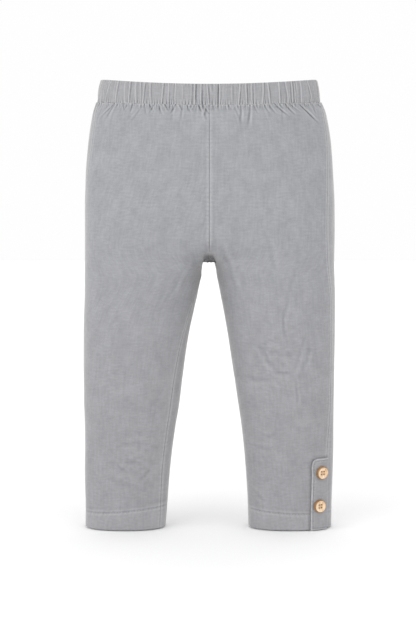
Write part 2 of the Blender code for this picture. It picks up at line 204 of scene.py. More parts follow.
def gridOf(node, outward, ring=False):
    # the outer side of a solid as rows of points, from its lowest up, read from its triangles
    work = bmesh.new()
    work.from_mesh(bpy.data.objects[node].data)
    bmesh.ops.remove_doubles(work, verts=work.verts, dist=0.01 * mm)
    skin = outerSkin(work, outward)
    used = set()

    def thirdCorner(a, b):
        # of the next unused triangle on the edge from a to b
        edge = next(e for e in a.link_edges if e.other_vert(a) is b)
        face = next(f for f in edge.link_faces if f in skin and f not in used)
        used.add(face)
        return next(v for v in face.verts if v not in (a, b))

    row = lowestBorder(skin)
    if not ring:  # the border's low stretch is the first row, and one of its sides leads up
        lowest = min(v.co.z for v in row)
        low = [v.co.z < lowest + 0.05 * mm for v in row]
        start = next(i for i in range(len(row)) if low[i] and not low[i - 1])
        border = row[start:] + row[:start]
        row = border[:sum(low)]
        chain = [row[0]] + border[:sum(low) - 1:-1]
    rows = [row]
    for r in range(1, len({v for face in skin for v in face.verts}) // len(row)):
        below = rows[-1]
        if ring:  # the steepest edge leads up
            free = [e.other_vert(below[0]) for e in below[0].link_edges]
            free = [v for v in free if v not in below and any(f in skin for f in v.link_faces)]
            free = [v for v in free if v.co.z > below[0].co.z]
            above = [max(free, key=lambda v: (v.co - below[0].co).normalized().z)]
        else:
            above = [chain[r]]
        for a, b in zip(below, below[1:]):
            corner = thirdCorner(a, b)
            if corner is above[-1]:
                corner = thirdCorner(b, corner)
            else:
                thirdCorner(a, corner)
            above.append(corner)
        if ring:  # the last two triangles close it
            used.update(set(below[-1].link_faces) & set(below[0].link_faces) & skin)
            for face in set(above[-1].link_faces) & set(above[0].link_faces) & skin:
                if set(face.verts) & {below[0], below[-1]}:
                    used.add(face)
        rows.append(above)
    grid = np.array([[v.co[:] for v in row] for row in rows]) / mm
    work.free()
    return grid


def meshObject(name, vertices, faces):
    # vertices come in millimetres
    mesh = bpy.data.meshes.new(name)
    mesh.from_pydata((vertices.reshape(-1, 3) * mm).tolist(), [], faces)
    piece = bpy.data.objects.new(name, mesh)
    bpy.context.collection.objects.link(piece)
    return piece


def clothObject(name, points, maps, wearHighlightAndShade, closed=False):
    # a grid of points as a sheet, with its own map in metres and its worn places, painted highlights and
    # painted shade
    rows, columns = points.shape[:2]
    index = np.arange(rows * columns).reshape(rows, columns)
    nextIndex, nextMaps = np.roll(index, -1, axis=1), np.roll(maps, -1, axis=1)
    quads = np.stack([index[:-1], index[1:], nextIndex[1:], nextIndex[:-1]], axis=-1)
    if closed:  # the map's last column stays beside its first instead of jumping back
        maps = np.concatenate([maps[:, :-1], nextMaps[:, -1:]], axis=1)
    corners = np.stack([maps[:-1], maps[1:], nextMaps[1:], nextMaps[:-1]], axis=2)
    if not closed:
        quads, corners = quads[:, :-1], corners[:, :-1]
    piece = meshObject(name, points, quads.reshape(-1, 4).tolist())
    layer = piece.data.uv_layers.new(name="grain")
    layer.uv.foreach_set("vector", (corners * mm).reshape(-1).astype(np.float32))
    shade = piece.data.attributes.new("wearHighlightAndShade", "FLOAT", "POINT")
    shade.data.foreach_set("value", wearHighlightAndShade.reshape(-1).astype(np.float32))
    piece.data.update()
    return piece


def faceOutward(mesh, merge=False):
    work = bmesh.new()
    work.from_mesh(mesh)
    if merge:
        bmesh.ops.remove_doubles(work, verts=work.verts, dist=0.005 * mm)
    bmesh.ops.recalc_face_normals(work, faces=work.faces)
    work.to_mesh(mesh)
    work.free()


def selectOnly(*things):
    bpy.ops.object.select_all(action="DESELECT")
    for thing in things:
        thing.select_set(True)
    bpy.context.view_layer.objects.active = things[0]


def applyAll(piece):
    selectOnly(piece)
    for modifier in list(piece.modifiers):
        bpy.ops.object.modifier_apply(modifier=modifier.name)
    piece.select_set(False)


def giveThickness(piece, thickness):
    # inwards, since the grid is the cloth's outer side
    shell = piece.modifiers.new("cloth", "SOLIDIFY")
    shell.thickness = thickness * mm
    shell.offset = -1
    applyAll(piece)


def finishPiece(piece, material, replaces, smooth):
    # smooth is the angle in degrees up to which its shading is soft
    piece.data.materials.clear()
    piece.data.materials.append(material)
    selectOnly(piece)
    bpy.ops.object.shade_smooth_by_angle(angle=math.radians(smooth))
    piece.select_set(False)
    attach(piece, "root")
    if replaces:
        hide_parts(*replaces)


def washedCotton(name, look):
    # fine brushed cotton, woven and dyed after sewing: soft matt grey, a little paler where the wash
    # has rubbed raised edges, with painted highlight there too and painted shade in the hollows, faint
    # ribs along the grain and short slubs across it
    material, tree = emptyMaterial(name)
    where = addNode(tree, "ShaderNodeUVMap", {"uv_map": "grain"}).outputs["UV"]
    wearHighlightAndShade = addNode(tree, "ShaderNodeAttribute", {"attribute_name": "wearHighlightAndShade"}).outputs["Fac"]

    # each pattern: its size in mm, its frequency across and along the grain, detail, roughness,
    # and how much it gives to the tone and to the relief; the first is the clouding of the dye
    patterns = (
        (look["cloudSize"], (1.0, 0.7), 3, 0.5, 0.35, 0.0),
        (look["ribSize"], (1.0, 0.15), 2, 0.5, 0.35, 0.5),
        (look["slubSize"], (0.28, 1.0), 2, 0.5, 0.4, 0.6),
        (look["grainSize"], (1.0, 0.8), 2, 0.7, 0.3, 0.8),
    )
    sums = {"tone": None, "relief": None}
    for size, frequency, detail, roughness, toTone, toRelief in patterns:
        placed = addNode(tree, "ShaderNodeMapping", {"Scale": (*frequency, 1.0)}, {"Vector": where})
        pattern = addNode(tree, "ShaderNodeTexNoise", {
            "noise_dimensions": "2D", "Scale": 1000 / size, "Detail": detail, "Roughness": roughness,
        }, {"Vector": placed.outputs["Vector"]})
        for use, low, high, least, most in (
                ("tone", 0.3, 0.7, -toTone, toTone), ("relief", 0.2, 0.8, 0.0, toRelief)):
            if most == 0.0:
                continue
            level = addNode(tree, "ShaderNodeMapRange", {
                "From Min": low, "From Max": high, "To Min": least, "To Max": most,
            }, {"Value": pattern.outputs["Fac"]}).outputs["Result"]
            if sums[use] is not None:
                level = addNode(tree, "ShaderNodeMath", {"operation": "ADD"}, {
                    0: sums[use], 1: level,
                }).outputs[0]
            sums[use] = level

    # colours laid over each other, each from nothing at its source's first value to its full share
    # at the second; towards the hems painted shade makes the cloth a little darker and warmer
    spot = addNode(tree, "ShaderNodeTexCoord").outputs["Object"]
    upward = addNode(tree, "ShaderNodeSeparateXYZ", None, {"Vector": spot}).outputs["Z"]
    layers = (
        (sums["tone"], 0.0, -1.0, 1.0, "MIX", "dark"),
        (sums["tone"], 0.0, 1.0, 1.0, "MIX", "pale"),
        (upward, -0.09, -0.36, 1.0, "MULTIPLY", "paintedLowShade"),
        # the attribute read above: paler where it is above nothing, for wear and painted highlight; darker
        # below nothing, as painted shade
        (wearHighlightAndShade, 0.0, 1.0, 0.9, "MIX", "paleWearAndHighlight"),
        (wearHighlightAndShade, 0.0, -1.0, 0.9, "MIX", "paintedShade"),
    )
    colour = None
    for source, first, last, most, blending, over in layers:
        share = addNode(tree, "ShaderNodeMapRange", {
            "From Min": first, "From Max": last, "To Min": 0.0, "To Max": most,
        }, {"Value": source}).outputs["Result"]
        below = {} if colour is None else {6: colour}
        colour = addNode(tree, "ShaderNodeMix", {
            "data_type": "RGBA", "blend_type": blending, 6: toLinear(look["base"]), 7: toLinear(look[over]),
        }, {0: share, **below}).outputs[2]

    relief = addNode(tree, "ShaderNodeBump", {
        "Strength": look["relief"], "Distance": 0.25 * mm,
    }, {"Height": sums["relief"]})
    shader = addNode(tree, "ShaderNodeBsdfPrincipled", {
        "Roughness": 0.92, "IOR": 1.46, "Specular IOR Level": 0.25,
        "Sheen Weight": look["sheen"], "Sheen Roughness": 0.35, "Sheen Tint": toLinear("#F4F1EE"),
    }, {"Base Color": colour, "Normal": relief.outputs["Normal"]})
    addNode(tree, "ShaderNodeOutputMaterial", None, {"Surface": shader.outputs["BSDF"]})
    return material


def turnedWood(name, look):
    # pale maple, turned and lightly waxed: straight grain lines, darker along its sharp edges
    material, tree = emptyMaterial(name)
    where = addNode(tree, "ShaderNodeTexCoord").outputs["Object"]
    placed = addNode(tree, "ShaderNodeMapping", {
        "Rotation": look["turn"], "Scale": (1.0, 1.0, 0.12),
    }, {"Vector": where}).outputs["Vector"]
    lines = addNode(tree, "ShaderNodeTexNoise", {
        "Scale": 1000 / look["grainSize"], "Detail": 4, "Roughness": 0.65,
    }, {"Vector": placed}).outputs["Fac"]
    pores = addNode(tree, "ShaderNodeTexNoise", {
        "Scale": 1000 / look["poreSize"], "Detail": 2,
    }, {"Vector": placed}).outputs["Fac"]
    ramp = addNode(tree, "ShaderNodeValToRGB", None, {"Fac": lines})
    for stop, position, colour in zip(ramp.color_ramp.elements, (0.34, 0.62), ("late", "early")):
        stop.position = position
        stop.color = toLinear(look[colour])
    sharpness = addNode(tree, "ShaderNodeNewGeometry").outputs["Pointiness"]
    rim = addNode(tree, "ShaderNodeMapRange", {
        "From Min": 0.5, "From Max": 0.56, "To Min": 0.0, "To Max": 0.6,
    }, {"Value": sharpness})
    colour = addNode(tree, "ShaderNodeMix", {"data_type": "RGBA", 7: toLinear(look["edge"])}, {
        0: rim.outputs["Result"], 6: ramp.outputs["Color"],
    }).outputs[2]
    relief = addNode(tree, "ShaderNodeBump", {"Strength": 0.25, "Distance": 0.08 * mm}, {"Height": pores})
    shader = addNode(tree, "ShaderNodeBsdfPrincipled", {
        "Roughness": 0.5, "IOR": 1.5, "Coat Weight": 0.12, "Coat Roughness": 0.35,
    }, {"Base Color": colour, "Normal": relief.outputs["Normal"]})
    addNode(tree, "ShaderNodeOutputMaterial", None, {"Surface": shader.outputs["BSDF"]})
    return material


def spunThread(name, hexColour):
    # spun polyester sewing thread: a dull twist of two plies, with painted shade between them
    twist, paintedShadeShare = 0.35, 0.72  # mm, and the share of the colour between the plies
    material, tree = emptyMaterial(name)
    where = addNode(tree, "ShaderNodeTexCoord").outputs["Object"]
    noises = addNode(tree, "ShaderNodeTexNoise", {"Scale": 1000 / twist, "Detail": 1}, {"Vector": where})
    plies = noises.outputs["Fac"]
    ramp = addNode(tree, "ShaderNodeValToRGB", None, {"Fac": plies})
    # the dark stop is painted shade between the plies
    for stop, position, share in zip(ramp.color_ramp.elements, (0.3, 0.65), (paintedShadeShare, 1.0)):
        stop.position = position
        stop.color = [c * share for c in toLinear(hexColour)[:3]] + [1.0]
    relief = addNode(tree, "ShaderNodeBump", {"Strength": 0.5, "Distance": 0.05 * mm}, {"Height": plies})
    shader = addNode(tree, "ShaderNodeBsdfPrincipled", {"Roughness": 0.7, "Sheen Weight": 0.2}, {
        "Base Color": ramp.outputs["Color"], "Normal": relief.outputs["Normal"],
    })
    addNode(tree, "ShaderNodeOutputMaterial", None, {"Surface": shader.outputs["BSDF"]})
    return material


cottonLook = {
    # the last two colours here are for wear with painted highlight and for painted shade; the one on the next
    # line is painted shade towards the hems
    "base": "#8E8F92", "dark": "#86878B", "pale": "#96979B", "paleWearAndHighlight": "#A7A7A9", "paintedShade": "#66676B",
    "paintedLowShade": "#FCFAFA",
    "cloudSize": 15, "ribSize": 2.4, "slubSize": 2.0, "grainSize": 1.1,  # mm; the real rib is finer
    "relief": 0.5, "sheen": 0.7,
}
cotton = washedCotton("garmentDyedCotton", cottonLook)
bandCotton = washedCotton("garmentDyedCottonGathered", {**cottonLook, "base": "#8F8F91", "relief": 0.4})
mapleLook = {"early": "#E7D3B8", "late": "#C49E71", "edge": "#A67C4E", "grainSize": 1.6}
# the second wood is the toasted edge, also used as painted shade round the rim and in the holes
toastedAndShadedLook = {"early": "#966F45", "late": "#75532F", "edge": "#83603A", "grainSize": 1.2}
maple, toastedAndShadedWood = [
    turnedWood(name, {**look, "poreSize": 0.5, "turn": (0.4, 0.5, 0.3)})
    for name, look in (("waxedMaple", mapleLook), ("toastedMapleEdgeAndPaintedShade", toastedAndShadedLook))
]
greyThread = spunThread("spunPolyesterGrey", "#A3A4A7")
ecruThread = spunThread("spunPolyesterEcru", "#CFAF85")
print("materials made")


# The waistband: a flat tube of cloth, gathered on its elastic.

waistbandSettings = {
    "aroundStep": 0.4, "upStep": 1.1, "wall": 2.6, "topRadius": 1.1, "bottomRadius": 0.2,
    "groove": 0.85, "grooveWidth": 0.45,  # a full gather's groove, mm
    "ridge": 0.8, "ridgeWidth": 0.55,     # the narrow pleat that stands up beside it
    "puff": 0.14,                         # how far the cloth rounds out between two grooves
    "wander": 1.3,                        # how far a groove strays sideways on its way up
    "minor": 150,                         # short creases between the gathers
    "fineDepth": 0.26,                    # of the fine gathers close to the seam and the fold
    "slack": 1.12,                        # cloth for each mm round the band
}
# the fine gathers at the waist seam, which the band and the panels share: spacing in mm
fineStep = 2.9
# the front's gathers: where each crosses the top and the bottom of the band, mm from the middle,
# its groove, its pleat, and the side of the groove that the pleat stands on
frontGathers = (
    (-116.0, -117.1, 0.3, 0.4, -1), (-110.8, -112.1, 0.25, 0.3, -1), (-104.1, -109.3, 0.55, 0.6, 1),
    (-99.1, -100.8, 0.05, 0.35, 1), (-94.5, -96.0, 0.5, 0.75, -1), (-89.1, -88.9, 0.1, 0.5, 1),
    (-81.4, -81.9, 0.6, 1.0, -1), (-75.6, -74.0, 0.25, 0.8, -1), (-70.8, -69.7, 0.25, 0.45, -1),
    (-66.0, -67.6, 0.5, 0.8, -1), (-60.3, -59.4, 0.45, 0.8, -1), (-46.7, -48.0, 0.55, 0.8, -1),
    (-40.6, -40.9, 0.4, 0.9, -1), (-36.2, -36.8, 0.3, 0.45, 1), (-26.4, -26.4, 0.2, 0.35, -1),
    (-17.0, -18.1, 0.5, 0.1, -1), (-13.7, -13.9, 1.05, 1.15, -1), (-7.5, -7.7, 0.8, 1.0, -1),
    (-1.5, 0.6, 0.75, 0.5, -1), (9.1, 8.9, 1.15, 0.65, 1), (13.0, 12.0, 0.2, 0.25, 1),
    (24.4, 24.4, 0.35, 0.3, -1), (32.7, 31.1, 0.6, 0.9, -1), (39.0, 39.0, 0.65, 0.85, -1),
    (42.1, 41.6, 0.4, 0.8, 1), (45.2, 45.4, 0.5, 0.35, 1), (57.0, 55.7, 0.45, 0.95, -1),
    (61.8, 63.0, 0.45, 1.1, -1), (73.0, 73.8, 0.45, 1.0, -1), (77.8, 80.1, 0.4, 0.7, 1),
    (84.3, 84.3, 0.5, 1.1, 1), (87.0, 86.9, 0.3, 0.0, 1), (93.9, 93.9, 0.35, 0.85, 1),
    (97.2, 96.7, 0.2, 0.0, 1), (102.0, 105.6, 0.35, 0.95, 1), (113.2, 112.7, 0.65, 0.6, 1),
)


def fineGathers(around, line, seed):
    # uneven in spacing and in depth
    wave = np.sin(2 * math.pi * around / fineStep + 5 * unevenness(line, 9.0, seed))
    return wave * (0.6 + 0.8 * unevenness(line, 5.0, seed + 2))


def bandRing():
    # the band's mean rows, and the first of its grooves: the solid's zigzag is taken apart
    rows = gridOf("waistband", (0, -1, 0), ring=True)
    mean = 0.5 * rows + 0.25 * (np.roll(rows, 1, axis=1) + np.roll(rows, -1, axis=1))
    start = np.argmin(np.hypot(rows[0, :, 0], rows[0, :, 1] - rows[0, :, 1].min()))
    rows, mean = np.roll(rows, -start, axis=1), np.roll(mean, -start, axis=1)
    if mean[0, 5, 0] < 0:  # on from the front's middle to the wearer's left
        rows = np.roll(rows[:, ::-1], 1, axis=1)
        mean = np.roll(mean[:, ::-1], 1, axis=1)
    out = np.linalg.norm(rows[0, :, :2], axis=1) - np.linalg.norm(mean[0, :, :2], axis=1)
    return mean, 0 if out[0::2].mean() < out[1::2].mean() else 1


def bandProfile(tall, settings):
    # height, depth and how much it faces outwards: up the outside, over the fold, down the inside
    # and back under
    wall, topR, lowR = settings["wall"], settings["topRadius"], settings["bottomRadius"]
    up = steppedAlong([(lowR, 4, 0.6), (4, tall - 4, settings["upStep"]), (tall - 4, tall - topR, 0.5)])
    profile = [(h, 0.0, 1.0) for h in up]
    for a in np.linspace(0, math.pi, 9)[1:-1]:
        profile.append((tall - topR + topR * math.sin(a), topR - topR * math.cos(a), 1 - a / math.pi))
    profile += [(h, wall, 0.0) for h in np.linspace(tall - topR, lowR, 12)]
    for a in np.linspace(0, math.pi, 7)[1:-1]:
        profile.append((lowR - lowR * math.sin(a), wall / 2 + wall / 2 * math.cos(a), a / math.pi))
    return np.array(profile)


def listGathers(settings, middle, stations, girth, strays, up, chance):
    # each gather: its line round the band, groove, pleat, the pleat's side, and whether it is full
    gathers = []
    front = np.flatnonzero(middle[:, 1] < 0)
    front = front[np.argsort(middle[front, 0])]
    turned = np.where(stations > girth / 2, stations - girth, stations)[front]
    for topX, lowX, groove, pleat, side in frontGathers:
        low, high = np.interp((lowX, topX), middle[front, 0], turned)
        stray = 0.3 * np.array([noise.noise(Vector((topX, h * 2.5, 1.5))) for h in up])
        gathers.append((low + (high - low) * up + stray, groove, pleat, side, True))
    for place, line in strays:
        if np.interp(place, stations, middle[:, 1]) > 0:
            strength = chance.uniform(0.35, 1.0)
            pleat = strength * chance.uniform(0.4, 1.3)
            gathers.append((line, strength, pleat, chance.choice((-1, 1)), True))
    for _ in range(settings["minor"]):
        slant = chance.uniform(-0.9, 0.9)
        line = chance.uniform(0, girth) + slant * up
        strength = chance.uniform(0.25, 0.8) * chance.uniform(0.4, 1.0)
        strength *= 0.55 if np.interp(line[0] % girth, stations, middle[:, 1]) < 0 else 1.0
        pleat = strength * chance.uniform(0.4, 1.4)
        gathers.append((line, strength, pleat, chance.choice((-1, 1)), False))
    return gathers


def gatherLift(puffed, gathers, settings, stations, girth, up, chance):
    # grooves with a pleat standing up beside each; the pleats get painted highlight along with the wash's
    # wear, the grooves painted shade
    lift, wearHighlightAndShade = puffed.copy(), np.zeros(puffed.shape)
    for line, groove, pleat, side, full in gathers:
        here = (stations[None, :] - line[:, None] + girth / 2) % girth - girth / 2
        # the width of its kind, and where on the band's height it starts and how far it reaches
        size, starts, reaches = (1.0, (-0.35, 0.2), (1.0, 1.5)) if full else (0.8, (-0.3, 0.7), (0.3, 0.9))
        wide = settings["grooveWidth"] * chance.uniform(0.85, 1.2) * size
        start = chance.uniform(*starts)
        end = start + chance.uniform(*reaches)
        strength = ease((up - start) / 0.2) * ease((end - up) / 0.2)
        if full:
            strength = 0.45 + 0.55 * strength
        trough = groove * strength[:, None] * bell(here, wide)
        place = side * (wide + 0.85 * settings["ridgeWidth"] + 0.35)
        crest = pleat * strength[:, None] * bell(here - place, settings["ridgeWidth"])
        lift += settings["ridge"] * crest - settings["groove"] * trough
        # painted highlight on the pleat, painted shade in the groove
        wearHighlightAndShade += 1.7 * crest - 0.75 * trough
    return lift, wearHighlightAndShade


def makeWaistband(settings):
    mean, firstGroove = bandRing()
    count, spare = mean.shape[1], 4
    around = np.concatenate([mean[:, -spare:], mean, mean[:, :spare]], axis=1)
    coarse = runLength(around[1])
    coarse -= coarse[spare]
    girth = coarse[spare + count]
    stations = np.linspace(0, girth, round(girth / settings["aroundStep"]), endpoint=False)
    ring = np.stack([smoothLine(row, coarse, stations) for row in around])
    bottom, middle, top = ring[:3]
    grooves = coarse[spare + firstGroove:spare + count:2]

    # outward directions, level all round
    along = np.roll(middle, -1, axis=0) - np.roll(middle, 1, axis=0)
    normals = unit(np.stack([along[:, 1], -along[:, 0], np.zeros(len(along))], axis=1))
    if (normals * middle).sum() < 0:
        normals = -normals
    tall = np.linalg.norm(top - bottom, axis=1).mean()
    profile = bandProfile(tall, settings)
    height, depth, outward = profile[:, 0], profile[:, 1], profile[:, 2][:, None]
    heights = np.array([0.0, np.linalg.norm(middle - bottom, axis=1).mean(), tall])
    sheet = smoothLine(ring, heights, height)

    # the cloth rounds out between grooves that stray a little on the way up
    up = height / tall
    wander = [[noise.noise(Vector((k * 3.1, h * 1.7, 0.5))) for h in up] for k in range(len(grooves))]
    lines = settings["wander"] * np.array(wander) + grooves[:, None]
    puffed = np.zeros(sheet.shape[:2])
    for line, nextLine in zip(lines, np.concatenate([lines[1:], lines[:1] + girth])):
        span = (nextLine - line)[:, None]
        here = stations[None, :] - line[:, None]
        here = np.where(here < -girth / 2, here + girth, here)
        rounded = settings["puff"] * np.sin(math.pi * np.clip(here / span, 0, 1)) ** 0.7
        puffed = np.where((here >= 0) & (here < span), rounded, puffed)
    chance = random.Random(4)
    gathers = listGathers(settings, middle, stations, girth, zip(grooves, lines), up, chance)
    lift, wearHighlightAndShade = gatherLift(puffed, gathers, settings, stations, girth, up, chance)

    # close to the seam and to the fold the gathers are finer, with painted highlight on their crests
    # and painted shade between them, and the lower edge is worn
    flatRing = middle[None] * np.array([1.0, 1.0, 0.0])
    fine = fineGathers(stations[None, :], flatRing, 21)
    atEdges = bell(height, 4.0) + 0.5 * bell(height - tall, 2.5)
    lift += settings["fineDepth"] * fine * atEdges[:, None]
    wearHighlightAndShade += 1.1 * fine * atEdges[:, None]
    wearHighlightAndShade += (0.8 + 1.1 * unevenness(flatRing, 3.0, 27)) * bell(height, 0.9)[:, None]
    raised = flatRing + np.stack([0 * up, 0 * up, 0.15 * height], axis=-1)[:, None]
    lift += 0.13 * unevenness(raised, 2.2, 3) + 0.16 * unevenness(raised, 6.0, 7)
    move = lift * outward + 0.35 * unevenness(sheet, 6.0, 9) * (1 - outward)
    points = sheet + normals[None] * (move - depth[:, None])[..., None]
    wavy = 0.3 * fine[0] + 0.5 * unevenness(flatRing, 4.0, 25)[0]
    points[..., 2] += bell(height, 2.5)[:, None] * wavy

    # the last row meets the first
    closedPoints, lifts, wearHighlightAndShade = [np.concatenate([rows, rows[:1]]) for rows in (points, move, wearHighlightAndShade * outward)]
    # paler where the cloth stands out of its neighbours and darker where it sinks below them: painted
    # highlight and painted shade
    wearHighlightAndShade = np.clip(wearHighlightAndShade + 0.4 * (lifts - blurred(lifts, (2, 5), closed=True)), -1, 1)
    maps = np.stack(np.broadcast_arrays(
        stations[None, :] * settings["slack"], runLength(closedPoints).mean(axis=1)[:, None]), axis=-1)
    piece = clothObject("waistband_cloth", closedPoints[:, ::-1], maps[:, ::-1], wearHighlightAndShade[:, ::-1], closed=True)
    faceOutward(piece.data, merge=True)
    finishPiece(piece, bandCotton, ["waistband"], 60)

    # what the panels below need: where each groove meets the seam, its depth, and the seam's line
    seamGrooves = []
    for line, groove, *_ in gathers:
        at = np.argmin(np.abs(stations - line[0] % girth))
        seamGrooves.append((*points[0, at, :2], groove))
    seamLine = points[0].copy()
    seamLine[:, 2] = bottom[:, 2] + wavy
    return seamGrooves, seamLine


seamGrooves, seamLine = makeWaistband(waistbandSettings)
print("waistband gathered:", len(seamGrooves), "gathers")


# The button tab, sewn down over the outer hem of the wearer's left leg.

tabSettings = {
    "step": 0.42, "cloth": 1.0, "round": 0.85,
    "edgeRidge": 0.14,                  # where the turned-in cloth stands up beside the edge
    "stitchIn": 2.6, "stitchDip": 0.3,  # its stitching runs this far inside its edge, in a dip
    "mapStart": 31.0,                   # so that its weave isn't the panel's
}


def edgeDistance(points, line):
    # distance from each point to a line of points
    flat = points.reshape(-1, 1, 3)
    start, run = line[None, :-1], (line[1:] - line[:-1])[None]
    along = np.clip(((flat - start) * run).sum(-1) / (run * run).sum(-1), 0, 1)
    distances = np.linalg.norm(flat - start - along[..., None] * run, axis=-1)
    return distances.min(axis=1).reshape(points.shape[:-1])


def acrossLength(points):
    # distance along each row of a grid, from its first column
    return np.moveaxis(runLength(np.moveaxis(points, 1, 0)), 0, 1)


def makeTab(settings):
    coarse = gridOf("placket", (0.7, -0.7, 0))[::-1]
    if coarse[-1, 0, 0] > coarse[-1, -1, 0]:
        coarse = coarse[:, ::-1]
    step = settings["step"]
    wide = runLength(coarse[-1])[-1]
    across = spreadRows(coarse, np.linspace(0, 1, round(wide / step)))
    down = runLength(across).mean(axis=1)
    tall = down[-1]
    stations = steppedAlong([(0, 8, step), (8, tall - 5, 0.8), (tall - 5, tall, step)])
    points = smoothLine(across, down, stations)
    insideLeg = np.array([80.0, 0, 0]) + points * np.array([0, 0, 1])
    normals = normalsOf(points, insideLeg)

    # the edges are rounded, and the sewn ones are rubbed; the stitching's dip gets painted shade and
    # the cloth just inside it a painted highlight
    fromSewn = edgeDistance(points, np.concatenate([points[0, ::-1], points[:, 0], points[-1]])[::2])
    fromBack = edgeDistance(points, points[::3, -1])
    fromStitch = fromSewn - settings["stitchIn"]
    inRound = np.clip(1 - np.minimum(fromSewn, fromBack) / settings["round"], 0, 1)
    lift = -settings["round"] * (1 - np.sqrt(np.clip(1 - inRound**2, 0, 1)))
    lift += settings["edgeRidge"] * bell(fromSewn - 1.5, 0.6)
    lift -= settings["stitchDip"] * bell(fromStitch, 0.5)
    lift += 0.05 * unevenness(points, 6.0, 31) - 0.05
    uneven = 0.7 + 1.0 * unevenness(points, 2.2, 33)
    wearHighlightAndShade = (0.62 + 0.9 * unevenness(points, 2.6, 35)) * bell(fromSewn - 0.8, 0.6)
    # painted shade in the stitching's dip, painted highlight on the cloth just inside it
    wearHighlightAndShade -= 0.8 * uneven * bell(fromStitch, 0.55)
    wearHighlightAndShade += 0.35 * uneven * bell(fromStitch - 1.2, 0.5)
    wearHighlightAndShade += 0.15 * bell(fromBack, 0.8) + 0.12

    moved = points + normals * lift[..., None]
    maps = np.stack(np.broadcast_arrays(acrossLength(moved), -stations[:, None]), axis=-1)
    piece = clothObject("placket_cloth", moved, maps + settings["mapStart"], wearHighlightAndShade)
    giveThickness(piece, settings["cloth"])
    finishPiece(piece, cotton, ["placket"], 50)
    return piece, points, normals, fromSewn, (wide, tall)


tabPiece, tabGrid, tabNormals, tabEdge, tabCut = makeTab(tabSettings)
tabPoints = tabGrid[::2, ::2].reshape(-1, 3)
tabLow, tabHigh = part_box("placket")
print("button tab sewn: cut", [round(v, 1) for v in tabCut])


# The four leg panels, each from the waist seam to the hem that is turned up inside.

panelSettings = {
    # spacing of the fine grid, mm, and the width that it is worked out for
    "frontStep": 0.89, "backStep": 1.0, "edgeStep": 0.45, "drawnWidth": 150,
    "legMiddle": 70.0,                  # the legs' middle lines are this far from the centre
    "cloth": 1.1,                       # one layer of cotton
    "seamRoll": 0.5, "rollReach": 1.1,  # the edge turns in to its seam
    "seamClose": 0.09,                  # and is drawn this much nearer to its neighbour
    "centreGap": 0.012,                 # half of what is left open along the centre seam
    "hemWall": 2.6, "turnUp": 19.0,
    "pucker": 0.1, "puckerStep": 4.6, "seamRidge": 0.1,
    "hemStep": 0.17, "hemRidge": 0.14, "hemTwist": 0.035,  # relief at the hem's stitching
    "underTab": 0.15, "besideTab": 0.2,        # how far the cloth sinks at the button tab
    "crumple": 0.2, "ripple": 0.05, "patch": 0.16,
    "creaseDepth": 0.17, "creaseWidth": 0.58,  # shares of what the lists below give
    "pull": 0.95, "pullsTo": 44,        # depth of the pulls below the waist seam, and where they end
    "fineDepth": 0.24, "slack": 0.42,   # the fine gathers there, and the softer waves below them
    "crotchDepth": 9.0,
    # half the gap between the legs, from the crotch down, mm
    "gapHalf": {"left": (5.4, 5.8, 6.5, 7.0, 7.8), "right": (6.9, 7.5, 7.9, 8.4, 9.2)},
}
# height of the hem's stitching over the fold, at distances from the middle line
stitchLine = {
    "left": ((43, 21.0), (62, 19.5), (86, 17.8), (108, 17.4), (133, 17.4)),
    "right": ((-135, 17.4), (-110, 18.6), (-88, 20.4), (-65, 22.8), (-48, 24.0)),
}
